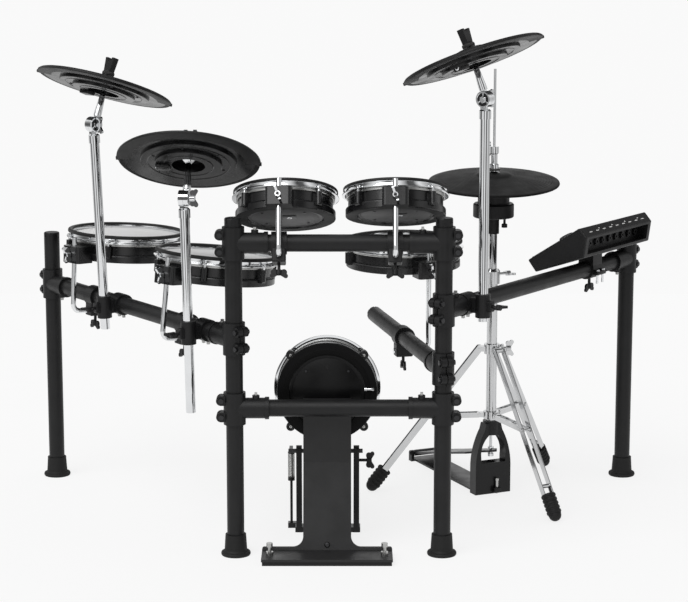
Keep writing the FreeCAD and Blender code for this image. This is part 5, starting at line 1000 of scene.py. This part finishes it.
def tilter_cheek(name, body, place):
    """Rim, dark web with spokes, and hex nut on a tilter's outer face, at the origin of its place."""
    rim = turned("rim", TILTER_RIM, steps=48)
    spoke = set_down(block("spoke", *SPOKE), shift(*SPOKE_AT))
    spokes = copies(spoke, "spokes", [turn(360 / SPOKES * i) for i in range(SPOKES)])
    hub = turned("hub", TILTER_HUB, steps=6)
    placed(joined([rim, spokes, hub], name + "_wheel"), place, body, "chrome", CHROME)
    placed(turned(name + "_web", TILTER_WEB, steps=48), place, body, STEEL, BLACK_ZINC)


def cymbals():
    for name in ("crash_left", "ride", "crash_right"):
        hinge = Vector(joints[name + "_tilt"]["pos_m"])
        axis = Vector(joints[name + "_tilt"]["axis"])
        seat = Vector(joints[name + "_swing"]["pos_m"])
        place = axes(seat, axis, seat - hinge + axis * TILTER_HALF)
        paint(name + "_arm", CHROME)
        to_pad = place.inverted()
        paint(name + "_tilter", CLAMP_PLASTIC, [(CHROME, lambda middle, diagonal: (to_pad @ middle).z < 0)])
        cymbal_pad(name + "_pad_top", name + "_pad", place, CYMBAL_TERRACE, name + "_pad")
        edge_strip(name + "_pad_top", name + "_pad", place)
        felt_washer(name + "_felt", name + "_tilter", place, CYMBAL_FELT_TOP)
        outer = axes(hinge, EZ, axis)
        tilter_cheek(name + "_arm_cheek", name + "_arm", outer @ shift(0, 0, TILTER_FACE))
        tilter_cheek(name + "_tilter_cheek", name + "_tilter", outer @ DOWN @ shift(0, 0, TILTER_FACE))


# Hi-hat stand

def leg_boot(leg, hinge):
    """Ribbed sleeve of a rubber boot, over the ends of a leg's rails."""
    points = corners(leg)
    toe = Vector(points[np.argmax(np.linalg.norm(points - np.array(hinge), axis=1))])
    along = (toe - hinge).normalized()
    end = toe - along * BOOT_TOE_R
    pitch = (BOOT_LENGTH - BOOT_SEAT) / BOOT_RIBS
    outline = [(BOOT_BORE_R, -BOOT_SEAT), (BOOT_BORE_R, -BOOT_LENGTH)]
    for i in range(BOOT_RIBS):
        outline += [(r, pitch * i - BOOT_LENGTH + pitch * share) for r, share in BOOT_RIB]
    outline += [(BOOT_GROOVE_R, -BOOT_SEAT)]
    boot = rounded(turned(leg + "_boot", outline, steps=40), BOOT_ROUND)
    placed(boot, axes(end, EX, along), leg, RUBBER, FOOT_RUBBER)


def hihat_spur():
    """Spur screw in its lug on the front of the cast frame, its tip just off the floor."""
    point, normal = met_ahead("hihat_base", SPUR_X, SPUR_Z)
    place = axes((point.x, point.y, 0), EZ.cross(normal), EZ)
    lug = block("hihat_spur_lug", *SPUR_LUG)
    placed(lug, place @ shift(*SPUR_LUG_AT), "root", "black_steel", CAST_BLACK)
    screw = turned("hihat_spur", SPUR, steps=20)
    placed(screw, place @ shift(*SPUR_AT), "root", STEEL, ZINC)


def hihat():
    low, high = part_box("hihat_controller")
    seat = shift((low.x + high.x) / 2, (low.y + high.y) / 2, HIHAT_SEAT_Z)
    cymbal_pad("hihat_pad_top", "hihat_rod", seat @ turn(HIHAT_LEAN, "X"), HIHAT_TERRACE, "hihat_pad")
    felt_washer("hihat_felt", "hihat_rod", seat, HIHAT_FELT_TOP)
    # The hi-hat stand's chrome parts take a darker copy of the chrome: painted shade.
    paint("hihat_base", CAST_BLACK, [(SHADED_STAND_CHROME, smaller(HIHAT_COLLAR_SIZE))])
    paint("hihat_tubes", SHADED_STAND_CHROME)
    paint("hihat_controller", CLAMP_PLASTIC)
    paint("hihat_rod", CHROME, [
        (CLAMP_PLASTIC, lambda middle, diagonal: diagonal < HIHAT_NUT_SIZE and middle.z < HIHAT_NUT_TOP)])
    paint("hihat_leg_collar", SHADED_STAND_CHROME)
    paint("hihat_footboard", BOARD_METAL)
    hihat_spur()
    for i in (1, 2, 3):
        leg = "hihat_leg_%d" % i
        paint(leg, SHADED_STAND_CHROME, by_face=[(FOOT_RUBBER, lambda middle: middle.z < BOOT_TOP)])
        leg_boot(leg, Vector(joints[leg + "_hinge"]["pos_m"]))
        paint("hihat_brace_%d" % i, SHADED_STAND_CHROME)


# Kick tower and pedal

def kick():
    paint("kick_tower", TOWER_PAINT, [(ZINC, smaller(TOWER_SPIKE_SIZE))],
          [(FOOT_RUBBER, lambda middle: middle.z < STRIP_TOP)])
    paint("kick_pedal_frame", CAST_BLACK)
    paint("kick_footboard", BOARD_METAL)
    paint("kick_chain", ZINC)
    paint("kick_spring", ZINC)
    low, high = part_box("kick_tower")
    point, normal = met_ahead("kick_tower", (low.x + high.x) / 2, TOWER_SCREW_Z)
    screw = screw_head(TOWER_SCREW_R, "kick_tower_screw")
    placed(screw, axes(point, EX, normal), "root", STEEL, BLACK_ZINC)
    axle = Vector(joints["kick_beater_swing"]["pos_m"])
    paint("kick_beater", ZINC, by_face=[(BOARD_METAL, lambda middle: (middle - axle).yz.length < CAM_R)])
    lean = turn(-BEATER_REST, "X") @ EZ
    half = BEATER_DEPTH / 2
    rim = arc(BEATER_R - BEATER_ROUND, half - BEATER_ROUND, BEATER_ROUND, BEATER_ROUND, 90)
    outline = [(0, half + BEATER_CROWN)] + rim[::-1] + BEATER_SEAM
    outline += [(r, -z) for r, z in rim] + [(0, -half - BEATER_CROWN)]
    felt = turned("kick_beater_felt", outline, steps=72)
    stand = axes(axle + lean * BEATER_LENGTH, EX, EX.cross(lean))
    placed(felt, stand, "kick_beater", "mesh_head", BEATER_FELT)


# Sound module

def module_axes():
    """Places of the module's own axes on its bar, of its sloping top and of its rear chamfer."""
    origin = Vector(joints["module_tilt"]["pos_m"])
    along = Vector(joints["module_tilt"]["axis"])
    inward = EZ.cross(along)

    def point(section):
        return origin + inward * section[0] + EZ * section[1]

    def face(high, low):
        top, foot = point(high), point(low)
        return axes((top + foot) / 2, along, along.cross(foot - top))

    bar = axes(origin, along, EZ)
    return bar, face(MODULE_REAR_TOP, MODULE_FRONT_TOP), face(MODULE_REAR_EDGE, MODULE_REAR_TOP)


def key_cap(size):
    """Push key with a dished top, standing at the origin."""
    cap = block("key_cap", size, min(size) * KEY_ROUND_SHARE)
    return sunk(cap, size[2], min(size[:2]) * KEY_RIM_SHARE, DISH)


def laid_out(pattern, name, place, spots, finish):
    """Copies of a pattern at (x, y) spots of the module's face."""
    stands = [place @ shift(x, y, FACEPLATE_T) for x, y in spots]
    return placed_copies(pattern, name, stands, "module", PLASTIC, finish)


def module_top(place):
    """Faceplate with its display, keys, lamps and knobs, laid out as a drummer sees them."""
    plate = sunk(block("module_faceplate", *FACEPLATE), FACEPLATE_T, FACEPLATE_RIM, DISH)
    placed(plate, place, "module", PLASTIC, MODULE_PANEL)
    x, y = DISPLAY_AT
    width, height, thick = DISPLAY[0]
    bezel = sunk(block("module_display_frame", *BEZEL), BEZEL[0][2], BEZEL_RIM, -thick)
    laid_out(bezel, "module_display_frame", place, [DISPLAY_AT], MODULE_CASE)
    laid_out(block("module_display", *DISPLAY), "module_display", place, [DISPLAY_AT], SCREEN)
    soft_keys = [(x - width / 2 + width * (i + 0.5) / SOFT_KEYS, y + height / 2 + SOFT_KEY_BELOW)
                 for i in range(SOFT_KEYS)]
    laid_out(key_cap(SOFT_KEY), "module_soft_keys", place, soft_keys, KEY_GREY)
    drum_keys = [(DRUM_KEY_AT[0] + DRUM_KEY_PITCH[0] * column, DRUM_KEY_AT[1] + DRUM_KEY_PITCH[1] * row)
                 for column in range(3) for row in range(3)]
    laid_out(key_cap(DRUM_KEY), "module_drum_keys", place, drum_keys, KEY_GREY)
    step_keys = [(DIAL_X + side * STEP_KEY_ASIDE, row) for side in (-1, 1) for row in STEP_KEY_ROWS]
    laid_out(key_cap(STEP_KEY), "module_step_keys", place, step_keys, KEY_PALE)
    lamps = [(column, row - LAMP_ABOVE) for column, row in drum_keys]
    laid_out(turned("lamp", LAMP, steps=16), "module_lamps", place, lamps, LAMP_RED)
    knobs = [(KNOB_FIRST - KNOB_PITCH * i, KNOB_ROW) for i in range(KNOBS)]
    laid_out(turned("knob", KNOB, steps=24), "module_knobs", place, knobs, CLAMP_PLASTIC)
    pointer = set_down(block("pointer", *POINTER), shift(*POINTER_AT))
    laid_out(pointer, "module_knob_pointers", place, knobs, MARK_WHITE)
    tick = set_down(block("tick", *TICK), shift(*TICK_AT))
    ticks = [place @ shift(*spot, FACEPLATE_T) @ turn(degrees) for spot in knobs for degrees in TICK_TURNS]
    fit(copies(tick, "module_knob_ticks", ticks), "module", PLASTIC, MARK_WHITE)


def module_dial(place):
    """Ribbed dial with a dished top and an index mark."""
    middle = place @ shift(DIAL_X, 0, 0)
    body = turned("dial", DIAL, steps=64)
    rib = set_down(block("rib", *DIAL_RIB), shift(*DIAL_RIB_AT))
    ribs = copies(rib, "ribs", [turn(360 / DIAL_RIBS * i) for i in range(DIAL_RIBS)])
    dial = joined([body, ribs], "module_ribbed_dial")
    placed(dial, middle, "module_dial", PLASTIC, KEY_GREY, "module_dial")
    mark = set_down(block("module_dial_mark", *DIAL_MARK), middle @ shift(*DIAL_MARK_AT))
    fit(mark, "module_dial", PLASTIC, MARK_WHITE)


def module_rear(bar, chamfer):
    """Jack nuts, a square port, pale marks above them, and the bolts of the saddle."""
    columns = [(i / (MODULE_JACKS - 1) - 0.5) * (MODULE_LENGTH - 2 * JACK_END) for i in range(MODULE_JACKS)]
    outward = turn(90, "X")
    stands = [bar @ shift(x, *JACK_ROW) @ outward for x in columns]
    nut = turned("jack_nut", JACK_NUT, steps=6)
    placed_copies(nut, "module_jack_nuts", stands, "module", STEEL, BLACK_ZINC, degrees=20)
    port = sunk(block("module_port", *PORT), PORT[0][2], PORT_RIM, PORT_DEPTH)
    stand = bar @ shift(columns[0] - PORT_ASIDE, *JACK_ROW) @ outward
    placed(port, stand, "module", STEEL, KEY_PALE)
    long_mark = block("long_mark", *LONG_MARK)
    short_mark = block("short_mark", *SHORT_MARK)
    longs = copies(long_mark, "longs", [chamfer @ shift(x, LONG_MARK_Y, 0) for x in columns])
    aside, row = SHORT_MARK_AT
    shorts = copies(short_mark, "shorts", [chamfer @ shift(x + aside, row, 0) for x in columns[1::2]])
    fit(joined([longs, shorts], "module_jack_marks"), "module", PLASTIC, MARK_WHITE)
    flange = block("module_saddle_flange", *SADDLE_FLANGE)
    placed(flange, bar @ shift(*SADDLE_FLANGE_AT), "module", PLASTIC, CLAMP_PLASTIC)
    bolt = turned("bolt", SADDLE_BOLT, steps=24)
    stands = [bar @ shift(x, SADDLE_BOLT_Y, 0) for x in SADDLE_BOLT_X]
    placed_copies(bolt, "module_saddle_bolts", stands, "module", "chrome", CHROME)


def sound_module():
    bar, top, chamfer = module_axes()
    paint("module_case", MODULE_CASE, [(CLAMP_PLASTIC, smaller(MODULE_CLAMP_SIZE))])
    module_top(top)
    module_dial(top)
    module_rear(bar, chamfer)


# Camera, floor and light

def floor_finish():
    """White floor: it keeps a soft shadow, and is seen as pale as the backdrop."""
    finish, tree, surface = shader("floor")
    patches = noise(tree, added(tree, "TexCoord", {}, "Object"), FLOOR_BLOTCH, FLOOR_DETAIL)
    given(tree, surface, {"Base Color": two_tones(tree, patches, *FLOOR_TONES), "Roughness": FLOOR_ROUGH,
                          "Specular IOR Level": FLOOR_SHINE})
    pale = added(tree, "Emission", {"Color": WHITE, "Strength": FLOOR_PALE})
    path = tree.nodes.new("ShaderNodeLightPath").outputs
    seen = largest(tree, [path[name] for name in SEEN_RAYS])
    share = added(tree, "MapRange", {"Value": seen, "To Max": FLOOR_PALE_SHARE}, "Result")
    mix = added(tree, "MixShader", {"Fac": share, 1: surface.outputs[0], 2: pale})
    given(tree, tree.nodes["Material Output"], {"Surface": mix})
    return finish


def studio():
    """Even room light; a pale backdrop for what is seen, and lamps with dark gaps in what gleams."""
    world = bpy.data.worlds.new("studio")
    world.use_nodes = True
    tree = world.node_tree
    room = tree.nodes["Background"]
    given(tree, room, {"Color": WHITE, "Strength": ROOM_LIGHT})
    backdrop = added(tree, "Background", {"Color": WHITE, "Strength": BACKDROP})
    sideways = added(tree, "SeparateXYZ", {0: added(tree, "TexCoord", {}, "Generated")}, "X")
    across = added(tree, "MapRange", {"Value": sideways, "From Min": -1}, "Result")
    tones = added(tree, "ValToRGB", {"Fac": across}, "Color")
    stops = tones.node.color_ramp.elements
    for position, _ in LAMP_TONES[1:-1]:
        stops.new(position)
    for stop, (position, tone) in zip(stops, LAMP_TONES):
        stop.position = position
        stop.color = (tone, tone, tone, 1)
    lamps = added(tree, "Background", {"Color": tones})
    path = tree.nodes.new("ShaderNodeLightPath").outputs
    gleam = added(tree, "MixShader", {"Fac": path["Is Glossy Ray"], 1: room.outputs[0], 2: lamps})
    seen = largest(tree, [path["Is Camera Ray"], path["Is Transmission Ray"]])
    mix = added(tree, "MixShader", {"Fac": seen, 1: gleam, 2: backdrop})
    given(tree, tree.nodes["World Output"], {"Surface": mix})
    return world


def stage():
    scene = bpy.context.scene
    rack = (feet["front_left_foot"] + feet["front_right_foot"]) / 2
    lens = bpy.data.cameras.new("camera")
    lens.sensor_width = SENSOR
    lens.lens = FOCAL_PIXELS * SENSOR / PHOTO_WIDTH
    eye = bpy.data.objects.new("camera", lens)
    eye.location = rack + Vector(CAMERA_AT)
    eye.rotation_euler = (math.radians(90 - CAMERA_DOWN), 0, 0)
    scene.collection.objects.link(eye)
    scene.camera = eye

    choose()
    bpy.ops.mesh.primitive_plane_add(size=FLOOR_SIZE)
    floor = bpy.context.object
    floor.name = "floor"
    floor.data.materials.append(floor_finish())

    sun = bpy.data.lights.new("key", "SUN")
    sun.energy = SUN_POWER
    sun.angle = math.radians(SUN_SPREAD)
    key = bpy.data.objects.new("key", sun)
    key.rotation_euler = [math.radians(degrees) for degrees in SUN_LEAN]
    scene.collection.objects.link(key)

    scene.world = studio()
    scene.view_settings.view_transform = "Standard"


rack_finishes()
drums()
cymbals()
hihat()
kick()
sound_module()
stage()
